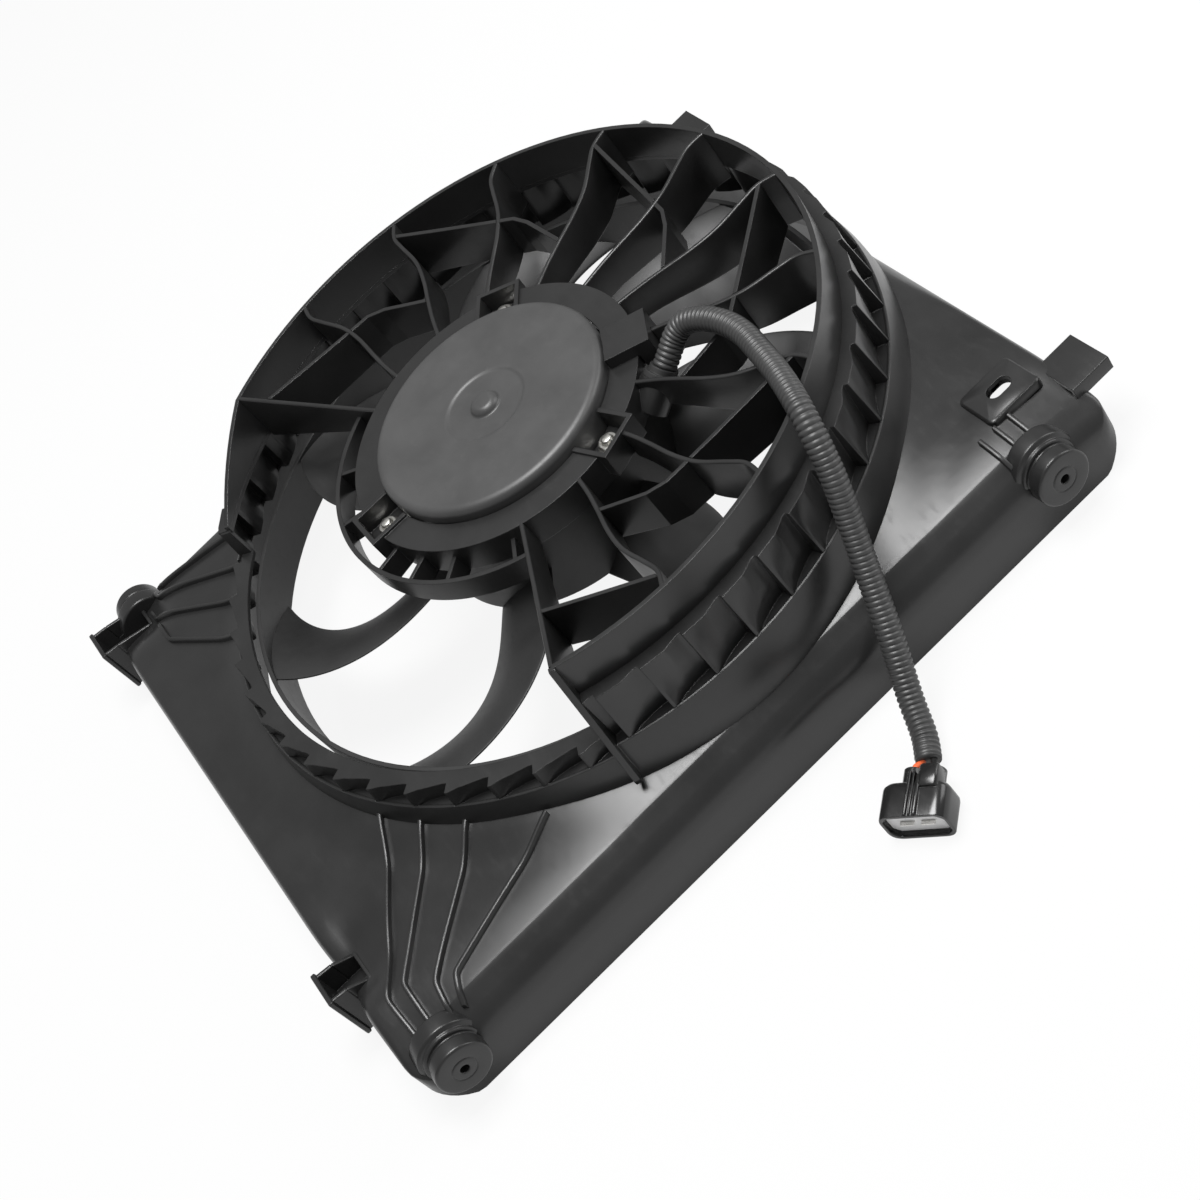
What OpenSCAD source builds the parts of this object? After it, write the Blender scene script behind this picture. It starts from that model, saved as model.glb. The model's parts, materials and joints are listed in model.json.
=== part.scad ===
// Radiator cooling fan: a moulded shroud with stator vanes, a banded seven-blade fan
// and a flat brushed motor. It lies on its open front rim, the side that meets the
// radiator core, and +Z points to the engine side. The origin is the middle of the
// shroud on the plane of that rim. Lengths are millimetres.

/* [Shroud pan] */
// Margin of the pan beyond the ring at its near end
end_margin = 17; // [16:0.5:30]
// Margin of the pan beyond the ring along its long sides
side_margin = 30; // [28:0.5:40]
// Height of the pan from the front rim to its flat back
pan_h = 46; // [44:1:50]
// Wall thickness of the shroud mouldings
wall = 2.5; // [2:0.1:3]
// Radius of the rolled edge round the back of the pan
edge_r = 10; // [6:1:12]
// Radius of the pan's four upright corners
corner_r = 12; // [8:1:20]
// Size of the bevel cut from each lower corner of the walls
corner_cut = 16; // [10:1:20]
// Height of the crown where the pan's back rises to the ring
crown_rise = 8; // [6:1:10]
// Width of that crown outside the ring
crown_w = 18; // [14:1:24]
// Distance of the fan's axis from the middle of the pan
fan_offset = 21.5; // [19:0.5:24]

/* [Ring] */
// Inner radius of the ring round the fan
ring_r = 180.5; // [179:0.5:181]
// Height of the ring's top edge over the front rim
ring_h = 122; // [118:1:126]
// Width of the raised base from the ring's bore to its outer wall
base_w = 17.5; // [17:0.5:18.5]
// Lean of the base's outer wall inwards up to the ledge
base_draft = 3.4; // [1:0.2:4]
// Height of the base's ledge beside the closed part of the ring
ledge_h = 70; // [68:1:72]
// Drop of that ledge along the open part
ledge_drop = 6; // [5:0.5:8]
// Height of the roof over the teeth in the closed part
roof_h = 100; // [97:1:103]
// Height of the annulus in the open part
annulus_h = 74.5; // [73:0.5:76]
// Angle where the open part begins
open_start = 141; // [136:1:143]
// Angle where the ring's top edge begins to slope down
slope_start = 119; // [119:1:121]
// Height of the ring's edge at the end of the slope
slope_h = 97; // [95:1:99]
// Angle where the open part ends
open_end = 248.5; // [248:0.5:250]

/* [Sawtooth wall] */
// Number of sawtooth pockets round the ring
tooth_count = 50; // [44:1:56]
// Distance of the sawtooth wall from the ring's bore
tooth_w = 10.5; // [10:0.5:11]
// Depth of each tooth
tooth_depth = 5; // [3:0.5:5.5]
// Angle where the first tooth steps out
tooth_phase = -102.1; // [-105:0.1:-99]

/* [Stator vanes] */
// Thickness of the stator vanes
vane_t = 2.4; // [2:0.1:3]
// Thickness of the ribs that cross the vanes
rib_t = 2.2; // [1.8:0.1:2.6]
// Depth of the vanes at the ring
vane_depth = 33; // [30:1:34]
// Depth of the vanes at the motor plate
vane_root_depth = 18; // [16:0.5:18.5]

/* [Motor plate] */
// Outer radius of the motor plate
plate_r = 82.6; // [82:0.2:84]
// Drop of the motor plate below the motor's back
plate_drop = 7.5; // [6:0.5:8]
// Depth of the skirt round the motor plate
skirt_depth = 17; // [15:0.5:18]
// Radius of the outer band round the open side of the motor plate
outer_band_r = 98.3; // [96:0.5:100]
// Drop of that band below the motor plate
outer_band_drop = 5; // [4:0.5:6]
// Depth of that band
outer_band_depth = 14; // [12:0.5:14]
// Radius of the circle of the three motor studs
stud_circle_r = 76; // [75.5:0.5:77]
// Length of each nut well along the radius
well_l = 24; // [23:0.5:26]
// Width of each nut well
well_w = 26; // [24:1:28]
// Depth of the nut wells below the motor plate
well_depth = 10; // [9:0.5:10.5]

/* [Mounting pins and clips] */
// Radius of the tips of the four locating pins
pin_r = 14.4; // [13:0.1:15]
// Length of the pins beyond the pan's walls
pin_l = 8; // [7:0.5:12]
// Radius of the collar behind each pin's tip
pin_collar_r = 15.4; // [15.2:0.1:16.2]
// Radius of the boss that carries each pin
pin_boss_r = 16.8; // [16.4:0.1:17.4]
// Height of the pins' axis over the front rim
pin_z = 29; // [26:0.5:29]
// Radius of the blind hole in each pin
pin_hole_r = 2.3; // [1.5:0.1:3]
// Distance of the left pins from the pan's left end
pin_left_in = 21.5; // [20:0.5:25]
// Distance of the right pins from the pan's right end
pin_right_in = 39; // [36:0.5:42]
// Length of a radiator clip along the wall
clip_w = 26; // [24:1:30]
// Reach of the two left clips out from the wall
clip_reach = 10; // [8:0.5:14]
// Reach of the two right clips out from the wall
hook_reach = 15.5; // [12:0.5:18]
// Height of a radiator clip
clip_h = 30; // [24:1:34]
// Thickness of the clip's walls
clip_t = 2.2; // [2:0.1:2.6]

/* [Fan] */
// Number of fan blades
blade_count = 7; // [5:1:9]
// Running gap between the fan's band and the ring
band_gap = 2.5; // [2:0.1:4]
// Thickness of the fan's band
band_t = 2.3; // [2:0.1:3]
// Height of the lower edge of the fan's band over the front rim
band_z = 42; // [40:1:44]
// Width of the fan's band along the axis
band_w = 28; // [26:1:29]
// Outer radius of the fan's hub
hub_r = 72; // [71.5:0.5:73]
// Wall thickness of the hub
hub_t = 2.5; // [2:0.1:3]
// Depth of the hub's cup
hub_depth = 46; // [42:1:48]
// Greatest thickness of a blade
blade_t = 2.8; // [2.2:0.1:3.4]
// Angle of the first blade
blade_phase = 164; // [140:1:180]

/* [Motor] */
// Outer radius of the motor's steel can
can_r = 66; // [65:0.2:66.2]
// Thickness of the can's steel
can_t = 2.2; // [1.8:0.1:2.4]
// Length of the can
can_l = 60; // [59:0.5:60]
// Radius of the shallow dish in the can's back
dish_r = 22.5; // [20:0.5:26]
// Radius of the motor shaft
shaft_r = 4; // [3.5:0.25:4.5]
// Running clearance between the shaft and its bushes
shaft_clearance = 0.03; // [0.02:0.01:0.06]
// Outer radius of the shaft's bushes
bush_r = 9; // [8:0.5:10]
// Length of each bush
bush_l = 9; // [8:0.5:10]
// Thickness of the magnets
magnet_t = 6; // [5:0.5:7]
// Air gap between the magnets and the armature
air_gap = 1; // [0.8:0.1:1.4]
// Length of the armature's laminated core
core_l = 24; // [20:1:26]
// Number of slots in the armature
slot_count = 16; // [12:1:18]
// Radius of the commutator
commutator_r = 14; // [12:0.5:16]
// Radius of the mounting studs
stud_r = 3; // [2.5:0.5:3]
// Size of the nuts across their flats
nut_flats = 10; // [9:0.5:11]

/* [Cable] */
// Outer radius of the corrugated cable cover
conduit_r = 6.2; // [5.5:0.1:6.5]
// Radius of each wire
wire_r = 1.6; // [1.2:0.1:1.8]

/* [Connector] */
// Width of the connector's shell
shell_w = 32; // [30:1:34]
// Height of the connector's shell
shell_h = 20; // [18:1:22]
// Length of the connector's shell
shell_l = 17; // [16:1:22]
// Wall thickness of the connector's shell
shell_t = 1.8; // [1.4:0.1:2]
// Length of the connector's narrower tail
tail_l = 11; // [10:1:14]

/* [Hidden] */
$fn = 96;
plastic = [0.20, 0.205, 0.21];
steel = [0.72, 0.73, 0.75];
join = 0.5;

// Plan sizes that follow the ring
pan_l = 2 * (fan_offset + ring_r + end_margin);
pan_w = 2 * (ring_r + side_margin);
base_r = ring_r + base_w;
tooth_r = ring_r + tooth_w;

// Levels, all counted up from the front rim
face_low = pan_h - wall;
crown_h = pan_h + crown_rise;
open_ledge_h = ledge_h - ledge_drop;
plate_h = ring_h - plate_drop;
vane_low = ring_h - vane_depth;
vane_root_low = plate_h - vane_root_depth;
outer_band_h = plate_h - outer_band_drop;
well_floor = plate_h - well_depth;
band_top = band_z + band_w;
band_r = ring_r - band_gap;
band_in = band_r - band_t;
can_low = ring_h - can_l;
hub_low = can_low - 18;
hub_top = hub_low + hub_depth;
can_in = can_r - can_t;

// Vane angles, unevenly spaced so that the blades don't sing in one tone
VANE_ANGLES = [119, 98.5, 77, 55.5, 33.5, 11.5, -9.5, -30.5, -51.5, -71.5, -92.5, -111.5];
STUD_ANGLES = [179, 55, -69];
pin_left = pan_l / 2 - pin_left_in;
pin_right = pan_l / 2 - pin_right_in;
PIN_SIDES = [[-pin_left, -1], [pin_right, -1], [-pin_left, 1], [pin_right, 1]];

function polar(r, a) = [r * cos(a), r * sin(a)];
function unit(v) = v / norm(v);
function lerp(a, b, t) = a + (b - a) * t;
// Value at x of the line through [x, y] pairs that go up in x
function along(x, pts, i = 0) = i >= len(pts) - 2 || x <= pts[i + 1][0]
    ? lerp(pts[i][1], pts[i + 1][1], (x - pts[i][0]) / (pts[i + 1][0] - pts[i][0]))
    : along(x, pts, i + 1);
// Direction of a path at point i
function heading(p, i) = unit(p[min(i + 1, len(p) - 1)] - p[max(i - 1, 0)]);
// Outline of a flat strip of thickness t along a path in the plane
function strip(p, t) = concat(
    [for (i = [0:len(p) - 1]) p[i] + [-heading(p, i)[1], heading(p, i)[0]] * t / 2],
    [for (i = [len(p) - 1:-1:0]) p[i] - [-heading(p, i)[1], heading(p, i)[0]] * t / 2]);
// A smooth curve through the points p, with n steps in each span
function smooth_point(p, i, t) = let (
    a = p[max(i - 1, 0)], b = p[i], c = p[i + 1], d = p[min(i + 2, len(p) - 1)])
    0.5 * (2 * b + (c - a) * t + (2 * a - 5 * b + 4 * c - d) * t * t
    + (3 * b - a - 3 * c + d) * t * t * t);
function smooth(p, n) = concat(
    [for (i = [0:len(p) - 2]) for (k = [0:n - 1]) smooth_point(p, i, k / n)], [p[len(p) - 1]]);

// Everything on the fan's axis
module on_axis() { translate([fan_offset, 0, 0]) children(); }
// A tube between two heights
module tube(r_out, r_in, z0, z1) {
    translate([0, 0, z0]) difference() {
        cylinder(r = r_out, h = z1 - z0);
        translate([0, 0, -1]) cylinder(r = r_in, h = z1 - z0 + 2);
    }
}
// An upright wedge of space between two angles, for cutting revolved forms
module wedge(a0, a1, r = 400, z0 = -10, z1 = 200) {
    steps = ceil((a1 - a0) / 30);
    translate([0, 0, z0]) linear_extrude(z1 - z0)
        polygon(concat([[0, 0]], [for (i = [0:steps]) polar(r, lerp(a0, a1, i / steps))]));
}
// An upright board in a plane through the axis: its outline is in [radius, height]
module board(angle, outline, t) {
    rotate([0, 0, angle]) translate([0, t / 2, 0]) rotate([90, 0, 0]) linear_extrude(t) polygon(outline);
}

// Shroud pan
module arch(w, h, r) {
    translate([-w / 2, 0]) square([w, h - r]);
    translate([-w / 2 + r, 0]) square([w - 2 * r, h]);
    for (s = [-1, 1]) translate([s * (w / 2 - r), h - r]) circle(r);
}
module rounded_plan(l, w, r) {
    square([l, w - 2 * r], center = true);
    square([l - 2 * r, w], center = true);
    for (x = [-1, 1], y = [-1, 1]) translate([x * (l / 2 - r), y * (w / 2 - r)]) circle(r);
}
module pan_block(l, w, h, r_edge, r_corner) {
    intersection() {
        translate([0, w / 2, 0]) rotate([90, 0, 0]) linear_extrude(w) arch(l, h, r_edge);
        translate([-l / 2, 0, 0]) rotate([90, 0, 90]) linear_extrude(l) arch(w, h, r_edge);
        linear_extrude(h) rounded_plan(l, w, r_corner);
    }
}
module crown(drop, inset) {
    intersection() {
        on_axis() translate([0, 0, -drop])
            cylinder(r1 = base_r + crown_w * crown_h / crown_rise, r2 = base_r, h = crown_h);
        pan_block(pan_l - 2 * inset, pan_w - 2 * inset, crown_h - drop,
            edge_r + crown_rise - inset, corner_r - inset);
    }
}
module shroud_pan() {
    color(plastic) difference() {
        union() {
            pan_block(pan_l, pan_w, pan_h, edge_r, corner_r);
            crown(0, 0);
            translate([pan_l / 2 - pad_in - pad_l, -pan_w / 2 + pad_side, face_low])
                cube([pad_l, pad_w, pad_rise + wall]);
        }
        translate([0, 0, -1]) {
            pan_block(pan_l - 2 * wall, pan_w - 2 * wall, face_low + 1, edge_r - wall, corner_r - wall);
        }
        crown(wall, wall);
        on_axis() translate([0, 0, face_low]) cylinder(r = base_r, h = crown_h);
        for (x = [-1, 1]) translate([x * pan_l / 2, 0, 0]) rotate([0, 45, 0])
            for (y = [-1, 1]) translate([0, y * pan_w / 2, 0])
                cube([corner_cut * sqrt(2), corner_cut, corner_cut * sqrt(2)], center = true);
        slot_hole();
    }
}
// Raised pad in the lower right corner and its slotted hole, from the pan's end and side
pad_in = 11;
pad_l = 32;
pad_side = 28.5;
pad_w = 27;
pad_rise = 3;
slot_x = pan_l / 2 - 26;
slot_y = pan_w / 2 - 43;
slot_r = 4.3;
slot_run = 5;
module slot_hole() {
    translate([slot_x, -slot_y, 0]) {
        for (s = [-1, 1]) translate([s * slot_run / 2, 0, 0]) cylinder(r = slot_r, h = pan_h + 10);
        translate([-slot_run / 2, -slot_r, 0]) cube([slot_run, 2 * slot_r, pan_h + 10]);
    }
}

// Stiffening ribs in the corners of the pan's back, from the base down the crown to the edge of
// the flat part: each point is its distance from the pan's end and from its long side
rib_h = 3;
LOWER_RIBS = [
    [[65, 123], [14.5, 38], [14.5, edge_r]],
    [[79, 100], [25, 38], [23, edge_r]],
    [[95, 78], [37, 26], [33, edge_r]],
    [[126, 47], [47, 22], [40, edge_r]]];
UPPER_RIBS = [
    [[65, 117], [28.5, 66], [28.5, 48]],
    [[81, 93], [28.5, 37], [27.5, 24]],
    [[99, 73], [36.5, 22], [35, edge_r]],
    [[124, 41], [42, 16], [39, edge_r]]];
RIGHT_RIBS = [for (x = [34, 43, 52]) [[x, pad_side - 1], [x, pad_side - 9], [x, edge_r]]];
module corner_rib(points) {
    translate([-pan_l / 2, -pan_w / 2, pan_h]) linear_extrude(crown_rise + rib_h)
        polygon(strip(points, rib_t));
}
module crown_cone() {
    on_axis() cylinder(r1 = base_r + crown_w * crown_h / crown_rise, r2 = base_r, h = crown_h);
}
module corner_ribs() {
    color(plastic) difference() {
        intersection() {
            union() {
                for (p = LOWER_RIBS) corner_rib(p);
                mirror([0, 1, 0]) for (p = UPPER_RIBS) corner_rib(p);
                mirror([1, 0, 0]) for (p = RIGHT_RIBS) corner_rib(p);
            }
            union() {
                linear_extrude(pan_h + rib_h) square([pan_l, pan_w], center = true);
                translate([0, 0, rib_h]) crown_cone();
            }
        }
        crown_cone();
        on_axis() cylinder(r = base_r, h = ring_h);
    }
}

// Four stepped locating pins, two on each long wall
pin_collar_l = 2;
pin_neck_l = 2;
pin_neck_r = pin_r - 1;
pin_hole_depth = 8;
module locating_pins() {
    color(plastic) difference() {
        for (p = PIN_SIDES) translate([p[0], 0, pin_z]) mirror([0, (1 - p[1]) / 2, 0]) {
            translate([0, pan_w / 2, 0]) rotate([-90, 0, 0]) difference() {
                union() {
                    translate([0, 0, -edge_r])
                        cylinder(r = pin_boss_r, h = edge_r - pin_collar_l - pin_neck_l);
                    translate([0, 0, -edge_r]) cylinder(r = pin_collar_r, h = edge_r - pin_neck_l);
                    translate([0, 0, -edge_r]) cylinder(r = pin_neck_r, h = edge_r + pin_l);
                    cylinder(r = pin_r, h = pin_l);
                }
                translate([0, 0, pin_l - pin_hole_depth]) cylinder(r = pin_hole_r, h = pin_hole_depth + 1);
            }
        }
        translate([0, 0, -1]) linear_extrude(pan_h) square([pan_l, pan_w - 2 * edge_r], center = true);
        pan_block(pan_l, pan_w, pan_h, edge_r, corner_r);
    }
}

// Box clips on the short walls: [side, distance from the wall's middle, reach, open at the top].
// The left ones are open boxes, and the right ones have a top and a bevelled outer edge.
left_clip = pan_w / 2 - 17.5;
low_clip = pan_w / 2 - 73;
right_clip = pan_w / 2 - 24.5;
top_clip = pan_w / 2 - 53.5;
CLIPS = [[-1, left_clip, clip_reach, true], [-1, -low_clip, clip_reach, true],
    [1, top_clip, hook_reach, false], [1, -right_clip, hook_reach, false]];
clip_z = 14;
clip_bevel = 6;
module clip_box(reach, w, h) {
    translate([0, w / 2, 0]) rotate([90, 0, 0]) linear_extrude(w) polygon([[-corner_r, 0], [reach, 0],
        [reach, h - clip_bevel], [reach - clip_bevel, h], [-corner_r, h]]);
}
module radiator_clips() {
    color(plastic) for (c = CLIPS) translate([c[0] * pan_l / 2, c[1], clip_z]) {
        mirror([(1 - c[0]) / 2, 0, 0]) difference() {
            if (c[3]) translate([-corner_r, -clip_w / 2, 0]) cube([c[2] + corner_r, clip_w, clip_h]);
            else clip_box(c[2], clip_w, clip_h);
            if (c[3]) translate([-corner_r - 1, -clip_w / 2 + clip_t, -1])
                cube([c[2] + corner_r - clip_t + 1, clip_w - 2 * clip_t, clip_h + 2]);
            else translate([0, 0, -1]) clip_box(c[2] - clip_t, clip_w - 2 * clip_t, clip_h - clip_t + 1);
            translate([-pan_l / 2, -c[1], -clip_z])
                pan_block(pan_l, pan_w, pan_h, edge_r, corner_r);
        }
    }
}

// Ring and sawtooth wall
tooth_pitch = 360 / tooth_count;
// Plan of the teeth: level, then a ramp inwards, then a step back out
module saw(r) {
    polygon([for (i = [0:tooth_count - 1], k = [0:4]) let (
        part = [0, 0.3, 0.6, 0.8, 0.98][k], dip = [0, 0, 0, 0.6, 1][k])
        polar(r - tooth_depth * dip, tooth_phase + (i + part) * tooth_pitch)]);
}
// Outer radius of the base's leaning wall at height z
function base_out(z) = base_r - base_draft * (z - crown_h) / (ledge_h - crown_h);
module stepped_base(roof, ledge, grow) {
    cylinder(r = base_r - grow, h = crown_h);
    translate([0, 0, crown_h])
        cylinder(r1 = base_r - grow, r2 = base_out(ledge - grow) - grow, h = ledge - grow - crown_h);
    linear_extrude(roof - grow) saw(tooth_r - grow);
}
module base_part(roof, ledge, a0, a1) {
    intersection() {
        difference() {
            stepped_base(roof, ledge, 0);
            stepped_base(roof, ledge, wall);
            translate([0, 0, -10]) cylinder(r = base_r + 10, h = face_low + 10);
        }
        wedge(a0, a1);
    }
}
// Outer edge of the gusset at the end of the closed part, as a radius at height z
function gusset_r(z) = lerp(ring_r + wall + 1, base_r + wall, (ring_h - z) / (ring_h - crown_h));
// Whatever lies between two heights
module level_cut(z0, z1) {
    intersection() {
        children();
        translate([0, 0, z0]) cylinder(r = 2 * base_r, h = z1 - z0);
    }
}
// A board inside the teeth that closes the step between two roofs
module roof_step(angle, low, high) {
    intersection() {
        board(angle, [[ring_r - 2, low - wall / 2], [tooth_r, low - wall / 2],
            [tooth_r, high - wall / 2], [ring_r - 2, high - wall / 2]], wall);
        linear_extrude(ring_h) saw(tooth_r - wall / 2);
    }
}
module ring_base() {
    inside = ring_r - 2;
    slope_roof = slope_h - wall;
    color(plastic) on_axis() difference() {
        union() {
            base_part(annulus_h, open_ledge_h, open_start, open_end);
            base_part(roof_h, ledge_h, open_end - 360, slope_start);
            base_part(slope_roof, ledge_h, slope_start, open_start);
            roof_step(open_start, annulus_h, slope_roof);
            roof_step(slope_start, slope_roof, roof_h);
            board(open_start, [[tooth_r - tooth_depth, open_ledge_h - wall / 2],
                [base_out(open_ledge_h) - wall / 2, open_ledge_h - wall / 2],
                [base_out(ledge_h) - wall / 2, ledge_h - wall / 2],
                [tooth_r - tooth_depth, ledge_h - wall / 2]], wall);
            level_cut(crown_h, roof_h) board(open_end, [[inside, annulus_h - wall / 2],
                [base_out(open_ledge_h) - wall / 2, open_ledge_h - wall / 2],
                [base_r - wall / 2, crown_h - 1], [gusset_r(crown_h - 1), crown_h - 1],
                [gusset_r(ring_h), ring_h], [inside, ring_h]], wall);
        }
        cylinder(r = ring_r, h = ring_h);
        intersection() {
            wedge(slope_start, open_start);
            translate([0, 0, slope_roof]) cylinder(r = ring_r + wall, h = ring_h);
        }
    }
}
// The ring's wall ends in a slope down to the open part
module ring_wall() {
    slope_mid = (slope_start + open_start) / 2;
    slope_half = ring_r * sin((open_start - slope_start) / 2) - 1;
    slope_drop = (ring_h - slope_h) / (2 * slope_half);
    past = 10;
    color(plastic) on_axis() {
        difference() {
            tube(ring_r + wall, ring_r, slope_h - wall, ring_h);
            wedge(open_start, open_end);
            wedge(open_end - 365, slope_start, 400, 0, roof_h);
            rotate([0, 0, slope_mid]) translate([ring_r * 0.8, 0, 0]) rotate([90, 0, 90])
                linear_extrude(ring_r * 0.4) polygon([[slope_half, slope_h], [slope_half + past, slope_h],
                [slope_half + past, ring_h + past], [-slope_half - past, ring_h + past * slope_drop]]);
        }
        level_cut(roof_h, ring_h) board(open_end, [[ring_r + wall / 2, roof_h - 5],
            [gusset_r(roof_h - 5), roof_h - 5], [gusset_r(ring_h + 5), ring_h + 5],
            [ring_r + wall / 2, ring_h + 5]], wall);
    }
}

// Stator vanes: [radius, swing in degrees] along every curved vane, from the plate to the ring
VANE_BOW = [[80, 5.3], [95, 3.6], [108, 2], [125, 0.2], [142, -0.3], [160, 0.8], [171, 1.2], [182, 0]];
VANE_LINE = smooth(VANE_BOW, 3);
last_vane = len(VANE_ANGLES) - 1;
function vane_path(i) = i == 0 || i == last_vane
    ? [polar(plate_r - join, VANE_ANGLES[i]), polar(ring_r + join, VANE_ANGLES[i])]
    : [for (q = VANE_LINE) polar(q[0], VANE_ANGLES[i] + q[1])];
function vane_at(i, r) = polar(r, VANE_ANGLES[i] + (i == 0 || i == last_vane ? 0 : along(r, VANE_BOW)));
// Cross ribs run from one vane over the next to the one after
module cross_rib(i) {
    path = i + 2 > last_vane
        ? [vane_at(i, 174), vane_at(i + 1, 145)]
        : [vane_at(i, i == 0 ? 160 : 172), polar(134, VANE_ANGLES[i] - 26), polar(128, VANE_ANGLES[i] - 30),
            vane_at(i + 2, 110)];
    polygon(strip(path, rib_t));
}
module vane_plan() {
    for (i = [0:last_vane]) polygon(strip(vane_path(i), vane_t));
}
// Space between the motor plate and the ring that the vanes and ribs fill, clear of wells and boss
module vane_space() {
    difference() {
        rotate_extrude() polygon([[plate_r, vane_root_low], [outer_band_r, vane_root_low],
            [ring_r, vane_low], [ring_r, ring_h], [plate_r, plate_h]]);
        for (a = STUD_ANGLES) well_space(a);
        along_cable(grommet_l + boss_l) cylinder(r = cable_boss_r, h = boss_l + 4);
    }
}
module stator_vanes() {
    color(plastic) on_axis() intersection() {
        linear_extrude(ring_h) vane_plan();
        vane_space();
    }
}
module vane_ribs() {
    color(plastic) on_axis() intersection() {
        linear_extrude(ring_h) difference() {
            for (i = [0:2:last_vane]) cross_rib(i);
            vane_plan();
        }
        vane_space();
    }
}

// Motor plate with its skirt, nut wells, outer band and cable boss
module well_space(a) {
    rotate([0, 0, a]) translate([stud_circle_r - well_l / 2, -well_w / 2, well_floor - 3])
        cube([well_l, well_w, well_depth + 20]);
}
BAND_RIBS = [142, 164, 192, 206, 220, 243];
band_rib_low = outer_band_h - outer_band_depth + join;
ear_w = 13;
ear_t = 3;
stud_clearance = 0.3;
plate_hole_r = can_r + 0.8;
// Route of the cable cover from the grommet to the connector, from the fan's axis: the first
// rows keep to the motor plate, the next hang from it and the last lie on the floor
cable_top = plate_h;
CABLE_ROUTE = [[72, -61, cable_top - 5.5], [78, -61, cable_top - 1.5], [85, -61, cable_top + 3.5],
    [92, -65, cable_top + 8.5], [98, -76, cable_top + 11.5], [102, -90, cable_top + 12.5],
    [103, -104, cable_top + 12.5], [101, -120, cable_top + 12.5], [97, -142, cable_top + 13.5],
    [91, -165, cable_top + 14.5], [86, -178, cable_top + 6.5], [80, -188, cable_top - 10.5],
    [72, -196, cable_top * 0.72], [63, -206, cable_top * 0.54], [52, -220, cable_top * 0.35],
    [39, -236, 18], [31, -250, 9], [24, -261, 8]];
cable_dir = unit(CABLE_ROUTE[1] - CABLE_ROUTE[0]);
grommet_l = 10;
boss_l = 12;
cable_boss_r = conduit_r + 3.3;
module along_cable(back) {
    translate(CABLE_ROUTE[0] - cable_dir * back) rotate([0, acos(cable_dir[2]), 0]) children();
}
module motor_plate() {
    color(plastic) on_axis() {
        difference() {
            union() {
                tube(plate_r, plate_hole_r, plate_h - wall, plate_h);
                tube(plate_r, plate_r - wall, plate_h - skirt_depth, plate_h);
                intersection() {
                    union() for (a = STUD_ANGLES) well_space(a);
                    cylinder(r = 200, h = plate_h + 1.5);
                }
            }
            cylinder(r = plate_hole_r, h = ring_h + 10);
            for (a = STUD_ANGLES) {
                rotate([0, 0, a]) translate([0, -well_w / 2 + wall, well_floor])
                    cube([stud_circle_r + well_l / 2 - wall, well_w - 2 * wall, 30]);
                rotate([0, 0, a]) translate([stud_circle_r, 0, well_floor - 10])
                    cylinder(r = stud_r + stud_clearance, h = 20);
                rotate([0, 0, a]) translate([0, -ear_w / 2 - 1, plate_h - skirt_depth - 1])
                    cube([plate_r + 1, ear_w + 2, well_floor - wall - 0.5 - plate_h + skirt_depth + 1]);
            }
            along_cable(grommet_l) cylinder(r = conduit_r + 1, h = 40);
        }
        difference() {
            union() {
                intersection() {
                    tube(outer_band_r, outer_band_r - wall, outer_band_h - outer_band_depth, outer_band_h);
                    wedge(VANE_ANGLES[0], open_end);
                }
                for (a = BAND_RIBS) board(a, [[plate_r - 1, band_rib_low], [outer_band_r - 1, band_rib_low],
                    [outer_band_r - 1, outer_band_h - join], [plate_r - 1, outer_band_h - join]], rib_t);
            }
            for (a = STUD_ANGLES) well_space(a);
            linear_extrude(ring_h) for (i = [0, last_vane]) polygon(strip(vane_path(i), vane_t));
        }
        difference() {
            along_cable(grommet_l + boss_l) cylinder(r = cable_boss_r, h = boss_l + 4);
            cylinder(r = plate_r - 1, h = ring_h);
            along_cable(grommet_l) cylinder(r = conduit_r + 1, h = grommet_l);
        }
    }
}

// Fan
boss_r = shaft_r + 6;
module fan_hub() {
    color(plastic) on_axis() difference() {
        union() {
            rotate_extrude() polygon([[0, hub_low], [hub_r - 3, hub_low], [hub_r, hub_low + 3],
                [hub_r, hub_top], [hub_r - hub_t, hub_top], [hub_r - hub_t, hub_low + 7],
                [hub_r - 7, hub_low + hub_t], [0, hub_low + hub_t]]);
            translate([0, 0, hub_low]) cylinder(r = boss_r, h = 10);
            for (i = [0:7]) board(i * 45, [[boss_r - 1, hub_low + 1], [hub_r - 6, hub_low + 1],
                [hub_r - 6, hub_low + 5], [boss_r - 1, hub_low + 9]], 2);
        }
        translate([0, 0, hub_low - 1]) cylinder(r = shaft_r, h = 20);
    }
}
// Leading and trailing edge of a blade at radius r, in degrees from the blade's own angle
function blade_lead(r) = -0.0045 * pow(r - 115, 2);
function blade_trail(r) = 27 - 0.0018 * pow(r - 72, 2);
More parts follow.
